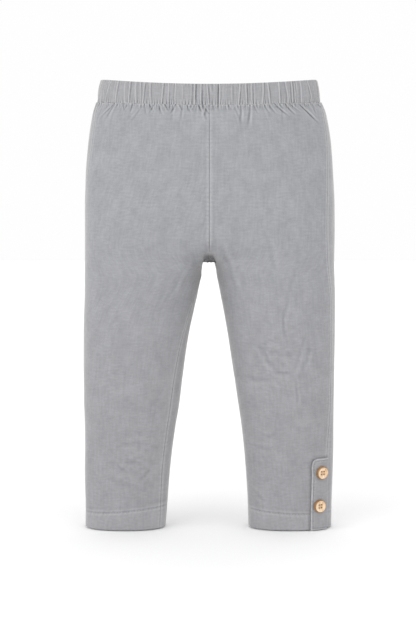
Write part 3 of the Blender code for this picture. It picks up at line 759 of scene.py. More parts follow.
# creases, by the side they are seen from: line in mm (x or y, then z), half width, depth
# (a ridge where it is negative) and the lip of cloth pushed up beside them
creases = {
    "front": (
        # thighs and crotch
        (((10, -160), (19, -182), (31, -220)), 4.8, 1.1, 0.8),
        (((58, -146), (63, -170), (69, -194)), 4.5, 0.6, 0.4),
        (((96, -130), (92, -160), (88, -190), (77, -232)), 5.0, 0.7, 0.4),
        (((-16, -172), (-28, -196), (-42, -222)), 4.0, -0.9, 0.0),
        (((-24, -176), (-38, -204), (-52, -232)), 4.0, 0.6, 0.0),
        # front of the left knee
        (((50, -262), (60, -281), (72, -296)), 3.8, 0.9, -0.7),
        (((70, -293), (79, -297), (88, -296)), 3.8, 0.85, -0.5),
        (((85, -302), (94, -277), (100, -254)), 3.8, 0.8, -0.7),
        (((95, -297), (102, -284), (105, -266)), 3.2, 0.7, -0.8),
        (((56, -266), (62, -262), (68, -262)), 2.6, 0.7, 0.3),
        (((35, -300), (50, -304), (66, -303)), 3.8, 0.6, -0.7),
        (((83, -216), (77, -236), (77, -249), (81, -266)), 3.0, 0.85, 0.4),
        (((54, -362), (62, -364), (70, -361)), 3.0, 0.8, 0.4),
        (((91, -300), (92, -316), (91, -332)), 2.6, 0.7, 0.3),
        (((64, -268), (74, -276), (84, -276)), 4.0, 0.4, 0.2),
        (((42, -374), (54, -377), (68, -378)), 3.6, 0.7, 0.4),
        (((43, -422), (52, -430), (60, -436)), 3.6, 0.7, 0.4),
        (((84, -352), (98, -357), (112, -352)), 6.0, 0.4, 0.2),
        # low on the right leg
        (((-102, -393), (-94, -398), (-85, -402)), 2.6, 0.9, 0.5),
        (((-62, -400), (-67, -405), (-73, -412)), 2.6, 1.0, 0.5),
        (((-101, -379), (-90, -373), (-76, -371), (-63, -373), (-52, -380)), 4.0, 0.7, 0.4),
        (((-98, -410), (-88, -418), (-74, -421)), 4.0, 0.5, 0.3),
        (((-46, -300), (-54, -322), (-66, -338)), 5.0, 0.5, 0.3),
        (((-112, -300), (-98, -308), (-84, -306)), 6.0, 0.4, 0.2),
    ),
    "back": (
        # under the seat
        (((12, -158), (27, -180), (50, -198)), 5.0, 1.3, 0.8),
        (((34, -196), (60, -206), (90, -204)), 5.0, 1.1, 0.7),
        (((46, -222), (72, -228), (98, -220)), 5.5, 0.6, 0.4),
        (((-12, -160), (-25, -184), (-47, -203)), 5.0, 1.2, 0.8),
        (((-38, -198), (-64, -204), (-94, -198)), 5.0, 1.0, 0.7),
        (((-30, -226), (-56, -236), (-84, -232)), 5.5, 0.6, 0.4),
        # backs of the knees
        (((44, -296), (62, -303), (84, -300), (104, -288)), 4.0, 1.2, 0.8),
        (((56, -318), (78, -326), (102, -318)), 4.2, 1.0, 0.6),
        (((60, -340), (76, -344), (92, -340)), 4.2, 0.5, 0.3),
        (((-48, -288), (-66, -297), (-92, -300), (-110, -310)), 4.0, 1.2, 0.8),
        (((-60, -314), (-80, -322), (-98, -318)), 4.2, 0.9, 0.6),
        (((-104, -336), (-88, -342), (-70, -340)), 4.2, 0.5, 0.3),
        (((64, -392), (78, -398), (96, -396)), 4.0, 0.6, 0.4),
        (((-112, -388), (-98, -396), (-80, -396)), 4.0, 0.6, 0.4),
        (((-62, -412), (-74, -420), (-90, -420)), 3.8, 0.5, 0.3),
    ),
    "left": (
        (((-28, -196), (-4, -206), (24, -202)), 5.0, 0.7, 0.5),
        (((-26, -290), (-8, -300), (14, -296)), 4.6, 0.8, 0.5),
        (((-10, -330), (8, -338), (24, -332)), 4.4, 0.6, 0.4),
        (((-4, -372), (12, -378)), 4.0, 0.4, 0.3),
    ),
    "right": (
        (((-24, -200), (0, -208), (28, -200)), 5.0, 0.7, 0.5),
        (((-18, -296), (2, -304), (22, -298)), 4.6, 0.8, 0.5),
        (((-22, -384), (-6, -390), (12, -386)), 4.0, 0.7, 0.4),
        (((-14, -340), (4, -344)), 4.4, 0.5, 0.4),
    ),
    "innerLeft": (
        (((-34, -214), (-6, -226), (28, -222)), 5.0, 0.8, 0.5),
        (((-24, -298), (0, -306), (22, -300)), 4.6, 0.8, 0.5),
        (((-18, -372), (4, -378)), 4.2, 0.5, 0.3),
    ),
    "innerRight": (
        (((-32, -218), (-4, -228), (26, -220)), 5.0, 0.8, 0.5),
        (((-22, -302), (0, -308), (24, -304)), 4.6, 0.8, 0.5),
        (((-16, -380), (6, -386)), 4.2, 0.5, 0.3),
    ),
}
# pulls below the front of the waist seam: where they start, mm sideways for each mm down,
# length, depth and the side of their lip
frontPulls = (
    (-115, -0.6, 13, 0.8, -1), (-110, -0.2, 5, 0.6, 1), (-104, -0.5, 9, 0.6, 1), (-99, -0.7, 18, 0.7, -1),
    (-95, -0.5, 6, 0.8, 1), (-91, 0.3, 10, 0.6, -1), (-85, -0.45, 9, 0.7, 1), (-80, -0.2, 12, 0.8, 1),
    (-75, 0.2, 8, 0.45, 1), (-70, -0.5, 7, 0.9, -1), (-67, 0.1, 14, 0.5, 1), (-63, 0.55, 9, 1.0, 1),
    (-57.5, -0.4, 11, 0.9, 1), (-53, 0.3, 13, 0.8, 1), (-50, -0.3, 6, 0.9, 1), (-46.5, 0.5, 9, 1.15, -1),
    (-41, -0.2, 7, 0.5, -1), (-35, -0.5, 12, 1.1, 1), (-31.5, 0.5, 8, 0.9, -1), (-28, -0.1, 20, 0.45, 1),
    (-24, 0.4, 10, 0.7, 1), (-18, 0.15, 7, 0.55, 1), (-15, -0.4, 6, 0.8, -1), (-11.8, 0.4, 9, 1.25, 1),
    (-7, 0.6, 12, 1.0, 1), (-2.5, -0.25, 15, 0.8, -1), (4, 0.1, 8, 0.6, 1), (9, -0.3, 5, 0.7, 1),
    (16, 0.15, 7, 0.6, 1), (20, 0.5, 6, 0.7, 1), (25, 0.05, 9, 0.5, -1), (29, 0.3, 7, 0.8, -1),
    (33, -0.1, 24, 0.55, 1), (37.5, -0.3, 6, 0.7, 1), (42, -0.12, 28, 0.6, 1), (46, 0.3, 12, 0.7, 1),
    (49, 0.1, 10, 0.5, -1), (53, -0.1, 6, 0.7, -1), (57, 0.35, 9, 0.55, 1), (62, 0.5, 12, 0.9, 1),
    (68.5, 0.8, 15, 1.2, 1), (73.5, 0.5, 6, 0.7, 1), (79, 0.6, 14, 1.2, 1), (84, 0.8, 11, 0.9, 1),
    (88, 0.5, 7, 0.5, -1), (93, 0.72, 24, 1.3, 1), (98, 0.9, 9, 0.8, 1), (102, 0.4, 6, 0.8, 1),
    (106, 0.6, 9, 0.6, 1), (112, 0.7, 18, 1.3, 1),
)
# patches that are more crumpled: side, place, reach, depth
crumples = (
    ("front", (-78, -396), 30, 0.75),
    ("front", (76, -286), 34, 0.7),
    ("front", (60, -400), 30, 0.4),
    ("back", (74, -312), 34, 0.6),
    ("back", (-76, -306), 34, 0.6),
)


def seenFrom(side, points, normals):
    # flat places as seen from a side, and how much each point faces it
    x, y, z = np.moveaxis(points, -1, 0)
    facing = {
        "front": -normals[..., 1], "back": normals[..., 1],
        "left": np.where(x > 0, normals[..., 0], 0), "right": np.where(x < 0, -normals[..., 0], 0),
        "innerLeft": np.where(x > 0, -normals[..., 0], 0), "innerRight": np.where(x < 0, normals[..., 0], 0),
    }[side]
    flat = np.stack([x if side in ("front", "back") else y, z], axis=-1)
    return flat, ease((facing - 0.1) / 0.5)


def creaseLift(spots, line, halfWidth, depth, lip):
    line = np.array(line, float)
    starts = runLength(line)
    nearest = np.full(spots.shape[:-1], 1e9)
    side, share = np.zeros(nearest.shape), np.zeros(nearest.shape)
    for start, first, last in zip(starts, line, line[1:]):
        length = np.linalg.norm(last - first)
        run = (last - first) / length
        off = spots - first
        along = np.clip(off @ run, 0, length)
        gap = np.linalg.norm(off - along[..., None] * run, axis=-1)
        closer = gap < nearest
        nearest = np.where(closer, gap, nearest)
        side = np.where(closer, np.sign(run[0] * off[..., 1] - run[1] * off[..., 0]), side)
        share = np.where(closer, (start + along) / starts[-1], share)
    taper = np.sin(math.pi * np.clip(share, 0, 1)) ** 0.7
    trough = bell(nearest, halfWidth)
    raised = abs(lip) * bell(nearest * side - math.copysign(1.8, lip) * halfWidth, halfWidth)
    return depth * taper * (raised - trough)


def pullsFrom(form):
    # the pulls that start on this panel's top edge: on the front as listed, elsewhere from the gathers
    top, normals, start, outside = form["points"][0], form["normals"][0], form["girth"][0], form["outside"]
    pulls = []
    if form["face"] == "front":
        for x, lean, length, depth, side in frontPulls:
            if x * outside < -3:
                continue
            column = int(np.abs(top[:, 0] - x).argmin())
            slope = outside * lean / max(0.35, abs(normals[column, 1]))
            pulls.append((start[column], slope, length, depth, outside * side))
    most = 0.5 if form["face"] == "front" else 1.0
    chance = random.Random(11)
    for x, y, strength in seamGrooves:
        slope = 0.5 * abs(x) / 118 * chance.uniform(0.4, 1.2) + chance.uniform(-0.4, 0.4)
        length = chance.uniform(4, 10) + (chance.uniform(4, 22) if chance.random() < 0.25 else 0)
        side = chance.choice((-1, 1))
        gap = np.hypot(top[:, 0] - x, top[:, 1] - y)
        column = int(gap.argmin())
        if gap[column] < 4.5:
            pulls.append((start[column], slope, length, most * (0.25 + 0.75 * strength), side))
    return pulls


def pullLift(along, down, pulls):
    # narrow at the seam, wider and fainter on the way down, with a lip of cloth on one side; the
    # shade is painted shade in the trough and painted highlight on the lip
    lift, shade = np.zeros(along.shape), np.zeros(along.shape)
    for start, slope, length, depth, side in pulls:
        here = along - start - slope * down * (1 + 0.2 * down / length)
        wide = 0.66 + 0.055 * down
        fade = depth * ease((length - down) / (0.8 * length))
        trough = bell(here, wide)
        lip = bell(here - side * (1.5 * wide + 0.3), 0.95 * wide)
        lift += fade * (0.7 * lip - trough)
        shade += fade * (0.8 * lip - 0.7 * trough)
    return lift, shade


def underArch(points, crotchZ):
    # how far below the arch between the legs, which is higher at the front
    return crotchZ - points[..., 2] - 0.058 * np.minimum(points[..., 1], 0)


def toCentreSeam(points, form, settings):
    # how far each row's inner edge is from its place beside the other leg's panel
    aboveCrotch = (form["stations"] <= form["crotchAt"])[:, None]
    return (np.abs(points[:, :1, 0]) - settings["centreGap"]) * aboveCrotch


def panelForm(node, settings):
    # the panel's fine grid, rows from the waist down and columns from the inner edge to the side
    face, leg = node.split("_")
    outside = 1 if leg == "left" else -1
    coarse = gridOf(node, (0, -1, 0) if face == "front" else (0, 1, 0))[::-1]
    if abs(coarse[-1, 0, 0]) > abs(coarse[-1, -1, 0]):
        coarse = coarse[:, ::-1]
    crotchRow = int(np.flatnonzero(np.abs(coarse[:, 0, 0]) < 0.3)[-1])
    crotchZ = coarse[crotchRow, 0, 2]

    # even shares of the width, closer at the seams, at the waist and round the hem
    shares = [0.0]
    while shares[-1] < 0.5 * settings["drawnWidth"]:
        shares.append(shares[-1] + min(settings[f"{face}Step"], settings["edgeStep"] + 0.22 * shares[-1]))
    shares = np.array(shares) / shares[-1] * 0.5
    across = spreadRows(coarse, np.concatenate([shares, 1 - shares[-2::-1]]))
    down = runLength(across).mean(axis=1)
    crotchAt, length = down[crotchRow], down[-1]
    stations = steppedAlong([
        (0, 3, settings["edgeStep"]), (3, 18, 0.85), (18, settings["pullsTo"], 1.3),
        (settings["pullsTo"], crotchAt - 6, 2.5), (crotchAt - 6, crotchAt + 16, 0.6),
        (crotchAt + 16, length - 27, 2.5), (length - 27, length - 15, 0.75),
        (length - 15, length - 4, 1.6), (length - 4, length - settings["hemWall"] / 2, 0.55),
    ])
    points = smoothLine(across, down, stations)
    girth = acrossLength(points)
    form = {"face": face, "leg": leg, "outside": outside, "stations": stations, "girth": girth,
            "crotchZ": crotchZ, "crotchAt": crotchAt}

    # the folds of the coarse form near the crotch are smoothed, and above it both legs' panels meet
    soft = points.copy()
    atCrotch = np.abs(stations - crotchAt) < 60
    soft[atCrotch] = smoothLine(blurred(across, (1, 0)), down, stations[atCrotch])
    softness = bell(points[..., 2] - crotchZ, 22) * (1 - bell(girth, 7))
    points = points + (soft - points) * softness[..., None]
    points[..., 0] -= outside * toCentreSeam(points, form, settings) * bell(girth, 5)
    # below it the legs part at once, square across the gap
    below = underArch(points, crotchZ)
    wanted = np.interp(below, (-0.1, 0.3, 2.2, 5.4, 8.6, 14), (0,) + settings["gapHalf"][leg])
    aside = np.clip(wanted - np.abs(points[..., 0]), 0, None) * ease((14 - below) / 4)
    points[..., 0] += outside * (aside * ((stations > crotchAt - 4)[:, None] * (girth < 45)))
    # at the side seam and the inseam the solids' clear gap is closed but for a hair, so no light
    # comes through
    for edge, beside in ((0, 1), (-1, -2)):
        nearer = points[:, edge] - points[:, beside]
        nearer *= settings["seamClose"] / np.linalg.norm(nearer, axis=-1, keepdims=True)
        if edge == 0:
            nearer *= ease((stations - crotchAt - 16) / 8)[:, None]
        points = points + nearer[:, None] * bell(girth - girth[:, edge:][:, :1], 3)[..., None]

    legLine = np.array([outside * settings["legMiddle"], 0, 0]) + points * np.array([0, 0, 1])
    heights = np.array(stitchLine[leg])
    form["points"], form["normals"] = points, normalsOf(points, legLine)
    form["fromSeam"] = np.minimum(girth, girth[:, -1:] - girth)
    form["fromTop"] = np.broadcast_to(stations[:, None], girth.shape)
    form["overHem"] = points[..., 2] - hemZ
    form["overStitch"] = form["overHem"] - np.interp(points[..., 0], heights[:, 0], heights[:, 1])
    # the place on the waist seam that each column comes to
    form["seamAt"] = np.linalg.norm(points[0][:, None, :2] - seamLine[None, :, :2], axis=-1).argmin(axis=1)
    return form


def slackLift(form, settings):
    # slack, creases and crumpled patches
    points, normals = form["points"], form["normals"]
    warp = np.stack([unevenness(points, 16.0, 1), unevenness(points, 16.0, 2)], axis=-1) * 1.6
    warp += np.stack([unevenness(points, 5.0, 43), unevenness(points, 5.0, 44)], axis=-1) * 0.8
    lift = settings["crumple"] * unevenness(points, 26.0, 4, (1, 1, 0.6))
    lift += settings["ripple"] * unevenness(points, 9.0, 5, (1, 1, 0.8))
    lift *= ease(form["overStitch"] / 25) * 0.8 + 0.2
    seen = {}
    for side, lines in creases.items():
        spots, facing = seenFrom(side, points, normals)
        seen[side] = (spots + warp, facing)
        for path, halfWidth, depth, lip in lines:
            halfWidth *= settings["creaseWidth"]
            depth *= settings["creaseDepth"]
            lift += creaseLift(spots + warp, path, halfWidth, depth, lip) * facing
    folds = 0.5 - np.abs(unevenness(points, 9.0, 6, (1, 1, 1.5))) * 2
    for side, place, reach, depth in crumples:
        spots, facing = seen[side]
        within = bell(np.linalg.norm(spots - np.array(place), axis=-1), reach)
        lift += settings["patch"] * depth * within * folds * facing
    return lift


def panelLift(form, settings):
    # how far the cloth stands off its grid, and the marks from which its wear, painted highlight and painted
    # shade are coloured
    points, normals, girth = form["points"], form["normals"], form["girth"]
    fromSeam, fromTop, overStitch = form["fromSeam"], form["fromTop"], form["overStitch"]
    lift = slackLift(form, settings)

    # the band's gathers run on below the seam and die out
    high = form["stations"] < settings["pullsTo"]
    pulled, pullShade = pullLift(girth[high], fromTop[high], pullsFrom(form))
    lift[high] += settings["pull"] * pulled
    fine = fineGathers(girth, points[:1] * np.array([1, 1, 0]), 22) * bell(fromTop, 3.4)
    lift += settings["fineDepth"] * fine
    lift += settings["slack"] * unevenness(points, 13.0, 41, (1, 1, 0.6)) * bell(fromTop - 13, 12)

    # the top edge meets the band nearly flush, and steps out a little at the sides
    level = blurred(seamLine[:, None], (10, 0))[form["seamAt"], 0]
    proud = ((points[0] - level) * normals[0])[:, :2].sum(axis=1)
    step = 0.1 + 1.8 * np.abs(normals[0, :, 0]) ** 3
    lift -= (proud - step) * bell(fromTop, 6.0)

    # seams: the edge rolls in, with puckers beside it
    phase = 2 * math.pi * points[..., 2] / settings["puckerStep"]
    phase = phase + 3.0 * unevenness(points, 14.0, 8, (0, 0, 1))
    strength = settings["pucker"] * (0.7 + 0.6 * unevenness(points, 30.0, 11, (0, 0, 1)))
    lift += strength * np.sin(phase) * bell(fromSeam, 3.6) * ease(fromSeam / 1.2)
    lift += settings["seamRidge"] * bell(fromSeam - 2.4, 1.3)
    lift -= settings["seamRoll"] * np.clip(1 - fromSeam / settings["rollReach"], 0, 1) ** 2

    # hem: two layers below the stitching, which pulls the cloth in and twists it a little
    doubled = ease(-overStitch / 1.6)
    lift += settings["hemStep"] * doubled - settings["hemStep"] * bell(overStitch, 0.9)
    lift += settings["hemRidge"] * bell(overStitch - 2.4, 1.5)
    twist = np.sin(2 * math.pi * (girth / 5.2 + form["overHem"] / 13) + 2.0 * unevenness(points, 20.0, 12))
    lift += settings["hemTwist"] * twist * bell(overStitch, 4.0) + 0.01 * twist * doubled

    # the button tab lies on the cloth, which stays flat and low under it and dips beside its edge,
    # where the dip gets painted shade
    gully = np.zeros(lift.shape)
    if form["leg"] == "left":
        beside = (points[..., 0] > tabLow.x / mm - 6) & (points[..., 2] < tabHigh.z / mm + 6)
        away = np.linalg.norm(points[beside][:, None] - tabPoints[None], axis=-1).min(axis=1)
        covered = 1 - ease((away - 2.2) / 2.5)
        lowered = np.minimum(lift[beside], 0) * covered - settings["underTab"] * covered
        lift[beside] = lift[beside] * (1 - covered) + lowered
        gully[beside] = bell(away - 0.9, 0.6)
        lift -= settings["besideTab"] * gully
    return lift, {"fine": fine, "pulls": pullShade, "high": high, "doubled": doubled, "gully": gully}


def panelWearHighlightAndShade(form, lift, marks):
    # the wash pales what stands up, which is also painted highlight, and the hollows get painted shade
    points, girth, crotchZ = form["points"], form["girth"], form["crotchZ"]
    fromSeam, fromTop, overStitch = form["fromSeam"], form["fromTop"], form["overStitch"]
    high, z = marks["high"], points[..., 2]
    # paler where the cloth stands above its neighbours, darker where it sinks: wear with painted highlight,
    # and painted shade
    wearHighlightAndShade = np.clip((lift - blurred(lift, (3, 3))) / 0.36, -1, 1)
    # the pulls below the waist seam: painted shade in their troughs, painted highlight on their lips
    wearHighlightAndShade[high] += 0.9 * marks["pulls"] - wearHighlightAndShade[high] * bell(fromTop[high], 12)
    edgeWear = 0.7 + 1.1 * unevenness(points[:1], 3.0, 28, (1, 1, 0))
    # painted highlight and shade on the fine gathers, wear along the top edge, and painted shade in the dip
    # beside the button tab
    wearHighlightAndShade += 1.1 * marks["fine"] + edgeWear * bell(fromTop, 0.9) - 0.9 * marks["gully"]
    atCentre = ease((z - crotchZ) / 10) * (girth < 6)
    # paler beside the seams from wear; beside the left leg's centre seam it is a painted highlight
    seamWearAndHighlight = 0.08 * (1 - atCentre) + (0.3 if form["leg"] == "left" else 0.0) * atCentre
    wearHighlightAndShade += seamWearAndHighlight * bell(fromSeam - 1.2, 0.7) * (0.7 + 1.2 * unevenness(points, 3.5, 14))
    wearHighlightAndShade -= 0.45 * bell(girth, 0.8) * ease((crotchZ - z) / 10)
    wearHighlightAndShade += 0.3 * bell(overStitch + 0.4, 0.8) + 0.14 * marks["doubled"]
    # painted highlight down the inner legs below the crotch, where little light reaches
    wearHighlightAndShade += 0.42 * bell(girth, 11) * ease((crotchZ - 12 - z) / 60)
    return wearHighlightAndShade


def turnedHem(moved, form, settings):
    # rows that turn round the hem's fold and go up inside
    fold, points = settings["hemWall"] / 2, form["points"]
    inward = unit(-form["normals"][-1] * np.array([1, 1, 0]))
    downward = np.array([0, 0, -1.0])
    rows = []
    for a in np.linspace(0, math.pi, 9)[1:]:
        rows.append(moved[-1] + inward * fold * (1 - math.cos(a)) + downward * fold * math.sin(a))
    folded, along = rows[-1], unit(points[-1] - points[-13])
    rows += [folded - along * h for h in np.linspace(0, settings["turnUp"], 13)[1:]]
    return rows


def makePanel(node, settings):
    form = panelForm(node, settings)
    face, outside, crotchZ = form["face"], form["outside"], form["crotchZ"]
    points, normals, girth = form["points"], form["normals"], form["girth"]
    lift, marks = panelLift(form, settings)
    wearHighlightAndShade = panelWearHighlightAndShade(form, lift, marks)
    sewn = points + normals * lift[..., None]

    # the two edges of the centre seam stay together, and the top edge follows the band's seam
    moved = sewn.copy()
    astray = toCentreSeam(moved, form, settings)
    if face == "front":
        astray *= ease((crotchZ + 45 - moved[:, :1, 2]) / 15)
    moved[..., 0] -= outside * astray * bell(girth, 4)
    rise = blurred(seamLine[form["seamAt"], 2:] - 0.05 - moved[0, :, 2:], (1, 0))[:, 0]
    moved[..., 2] += rise * bell(form["fromTop"], 4.0)

    # under the crotch the cloth goes back between the legs, crumpled, and painted shade darkens it
    if face == "front":
        x, y, z = np.moveaxis(moved, -1, 0)
        halfWidth = np.interp(z, (-186, -177, -170), (7.6, 5.4, 2.6))
        hollow = (1 - ease((np.abs(x) - halfWidth) / 1.6)) * ease((-169 - z) / 5)
        hollow *= 1 - ease((underArch(moved, crotchZ) - 0.2) / 1.5)
        mottle = unevenness(moved, 3.2, 17)
        moved[..., 1] += settings["crotchDepth"] * hollow * np.clip((-y - 3) / 22, 0, 1) * (1 + 0.5 * mottle)
        # painted shade in the hollow, mottled
        wearHighlightAndShade = wearHighlightAndShade * (1 - hollow) + hollow * (-1.15 + 0.9 * mottle)

    hem = turnedHem(moved, form, settings)
    moved = np.concatenate([moved, hem])
    wearHighlightAndShade = np.concatenate([wearHighlightAndShade, np.full((len(hem), wearHighlightAndShade.shape[1]), 0.1)])
    # the grain runs straight down the middle of the leg
    column = girth.shape[1] // 2
    across = girth - girth[:, column:column + 1]
    beyond = runLength(moved[-len(hem) - 1:])[1:]
    maps = np.stack([
        np.concatenate([across, np.repeat(across[-1:], len(hem), axis=0)]),
        np.concatenate([points[..., 2], points[-1:, :, 2] - beyond]),
    ], axis=-1)
    order = slice(None, None, 1 if (face == "front") == (form["leg"] == "left") else -1)
    piece = clothObject(f"{node}_cloth", moved[:, order], maps[:, order], wearHighlightAndShade[:, order])
    giveThickness(piece, settings["cloth"])
    finishPiece(piece, cotton, [node], 50)

    wide, tall = girth[:, -1].max(), runLength(moved).mean(axis=1)[-1]
    area = float((girth[:, -1] * np.gradient(form["stations"])).sum()) * mm * mm
    area += settings["turnUp"] * girth[-1, -1] * mm * mm
    cut = {"flat": (round(wide * mm, 3), round(tall * mm, 3)), "held": "hung", "area": round(area, 4),
           "rests_on": ["waistband_cloth"]}
    print(node, "sewn:", len(piece.data.polygons), "faces, cut", round(wide), "x", round(tall), "mm")
    return {"piece": piece, "points": sewn, "normals": normals, "overStitch": form["overStitch"], "cut": cut}


panelNodes = ("front_left", "front_right", "back_left", "back_right")
panels = {node: makePanel(node, panelSettings) for node in panelNodes}


# Stitching: modelled threads along the hems and round the tab.

stitchSettings = {
    "long": 2.3, "pitch": 3.0, "radius": 0.26, "sink": 0.08,
    "fromEnd": 1.2,  # mm from a line's ends to its first and last stitch
    "fromTab": 2.5,  # the hem's stitches stop this far from the button tab
}


def selectFaces(thing, up, reach=math.inf):
    # the faces that point up (or down) and lie within a radius in metres, alone
    bpy.ops.mesh.select_mode(type="FACE")
    bpy.ops.mesh.select_all(action="DESELECT")
    work = bmesh.from_edit_mesh(thing.data)
    for face in work.faces:
        middle = face.calc_center_median()
        face.select_set(face.normal.z * up > 0.9 and math.hypot(middle.x, middle.y) < reach)
    bmesh.update_edit_mesh(thing.data)


def modelStitch(settings):
    # one stitch: a short thread whose ends dive into the cloth
    radius, long = settings["radius"] * mm, settings["long"] * mm
    bpy.ops.mesh.primitive_cylinder_add(vertices=6, radius=radius, depth=long * 0.6)
    stitch = bpy.context.object
    bpy.ops.object.mode_set(mode="EDIT")
    for end in (1, -1):
        selectFaces(stitch, end)
        for sunk, run, narrowed in ((0.5, 0.14, 0.85), (1.6, 0.06, 0.55)):
            bpy.ops.mesh.extrude_region_move(
                TRANSFORM_OT_translate={"value": (-radius * sunk, 0, end * long * run)})
            bpy.ops.transform.resize(value=(narrowed,) * 3)
    bpy.ops.mesh.select_all(action="SELECT")
    bpy.ops.mesh.normals_make_consistent(inside=False)
    bpy.ops.object.mode_set(mode="OBJECT")
    return stitch


def stitchAlong(name, path, outward, settings):
    # the stitch's copies along a line on the cloth, x out of it and z along it
    single = modelStitch(settings)
    shape = np.array([v.co[:] for v in single.data.vertices]) / mm
    faces = [list(polygon.vertices) for polygon in single.data.polygons]
    bpy.data.objects.remove(single)
    run, end = runLength(path), settings["fromEnd"]
    count = max(2, int((run[-1] - 1.0) / settings["pitch"]))
    spots = np.linspace(end, run[-1] - end, count)
    here, ahead, behind, out = [
        np.stack([np.interp(spots + shift, run, line[:, k]) for k in range(3)], axis=1)
        for line, shift in ((path, 0.0), (path, 0.6), (path, -0.6), (outward, 0.0))
    ]
    along = unit(ahead - behind)
    out -= (out * along).sum(1, keepdims=True) * along
    out = unit(out)
    vertices = (here - settings["sink"] * out)[:, None]
    for k, direction in enumerate((out, np.cross(along, out), along)):
        vertices = vertices + shape[None, :, k:k + 1] * direction[:, None]
    copies = [[v + k * len(shape) for v in face] for k in range(count) for face in faces]
    piece = meshObject(name, vertices, copies)
    faceOutward(piece.data)
    finishPiece(piece, greyThread, (), 50)
    return piece


def contour(values, points, outward):
    # the line over a grid where its values fall to nothing, read down each column
    line, normals = [], []
    for column in range(values.shape[1]):
        v = values[:, column]
        rows = np.flatnonzero((v[:-1] > 0) & (v[1:] <= 0))
        if len(rows):
            k = rows[-1]
            t = v[k] / (v[k] - v[k + 1])
            line.append(points[k, column] * (1 - t) + points[k + 1, column] * t)
            normals.append(outward[k, column])
    return np.array(line), np.array(normals)


for node, panel in panels.items():
    path, outward = contour(panel["overStitch"], panel["points"], panel["normals"])
    fromTab = np.linalg.norm(path[:, None] - tabPoints[None], axis=-1).min(axis=1)
    clear = fromTab > stitchSettings["fromTab"]
    stitches = stitchAlong(f"{node}_hem_stitches", path[clear], outward[clear], stitchSettings)
print("hems stitched")


def makeTabStitches():
    # along the front edge, the top and the fold, turning the corners
    inside = tabEdge >= tabSettings["stitchIn"]
    first = {r: int(np.argmax(row)) for r, row in enumerate(inside) if row.any()}
    top, *sideRows, bottom = first
    last = tabGrid.shape[1] - 3
    line = [(top, c) for c in range(last, first[top], -1)]
    line += [(r, first[r]) for r in sideRows]
    line += [(bottom, c) for c in range(first[bottom], last)]
    outward = np.array([tabNormals[place] for place in line])
    path = np.array([tabGrid[place] for place in line])
    return stitchAlong("placket_stitches", path - outward * tabSettings["stitchDip"], outward, stitchSettings)


tabStitches = makeTabStitches()
print("button tab stitched")


# The wooden buttons, turned flat, drilled and finished as one disc each.

buttonSettings = {
    "segments": 64, "clearance": 0.05, "rim": 2.3, "crown": 0.75, "sunk": 0.95,
    "soften": 0.28, "holeRadius": 0.75, "holeSpacing": 3.1,
    "thread": 0.24, "threadIn": 0.45, "threadBelow": 0.6,
    # the darker rim and hole walls: toasted wood and painted shade
    "toastedAndShadedRim": 1.0, "toastedAndShadedHoles": 3.6,  # mm in from the edge, and out from the middle
}


def joined(things):
    selectOnly(*things)
    bpy.ops.object.join()
    bpy.ops.object.transform_apply(location=True, rotation=True, scale=True)
    return things[0]


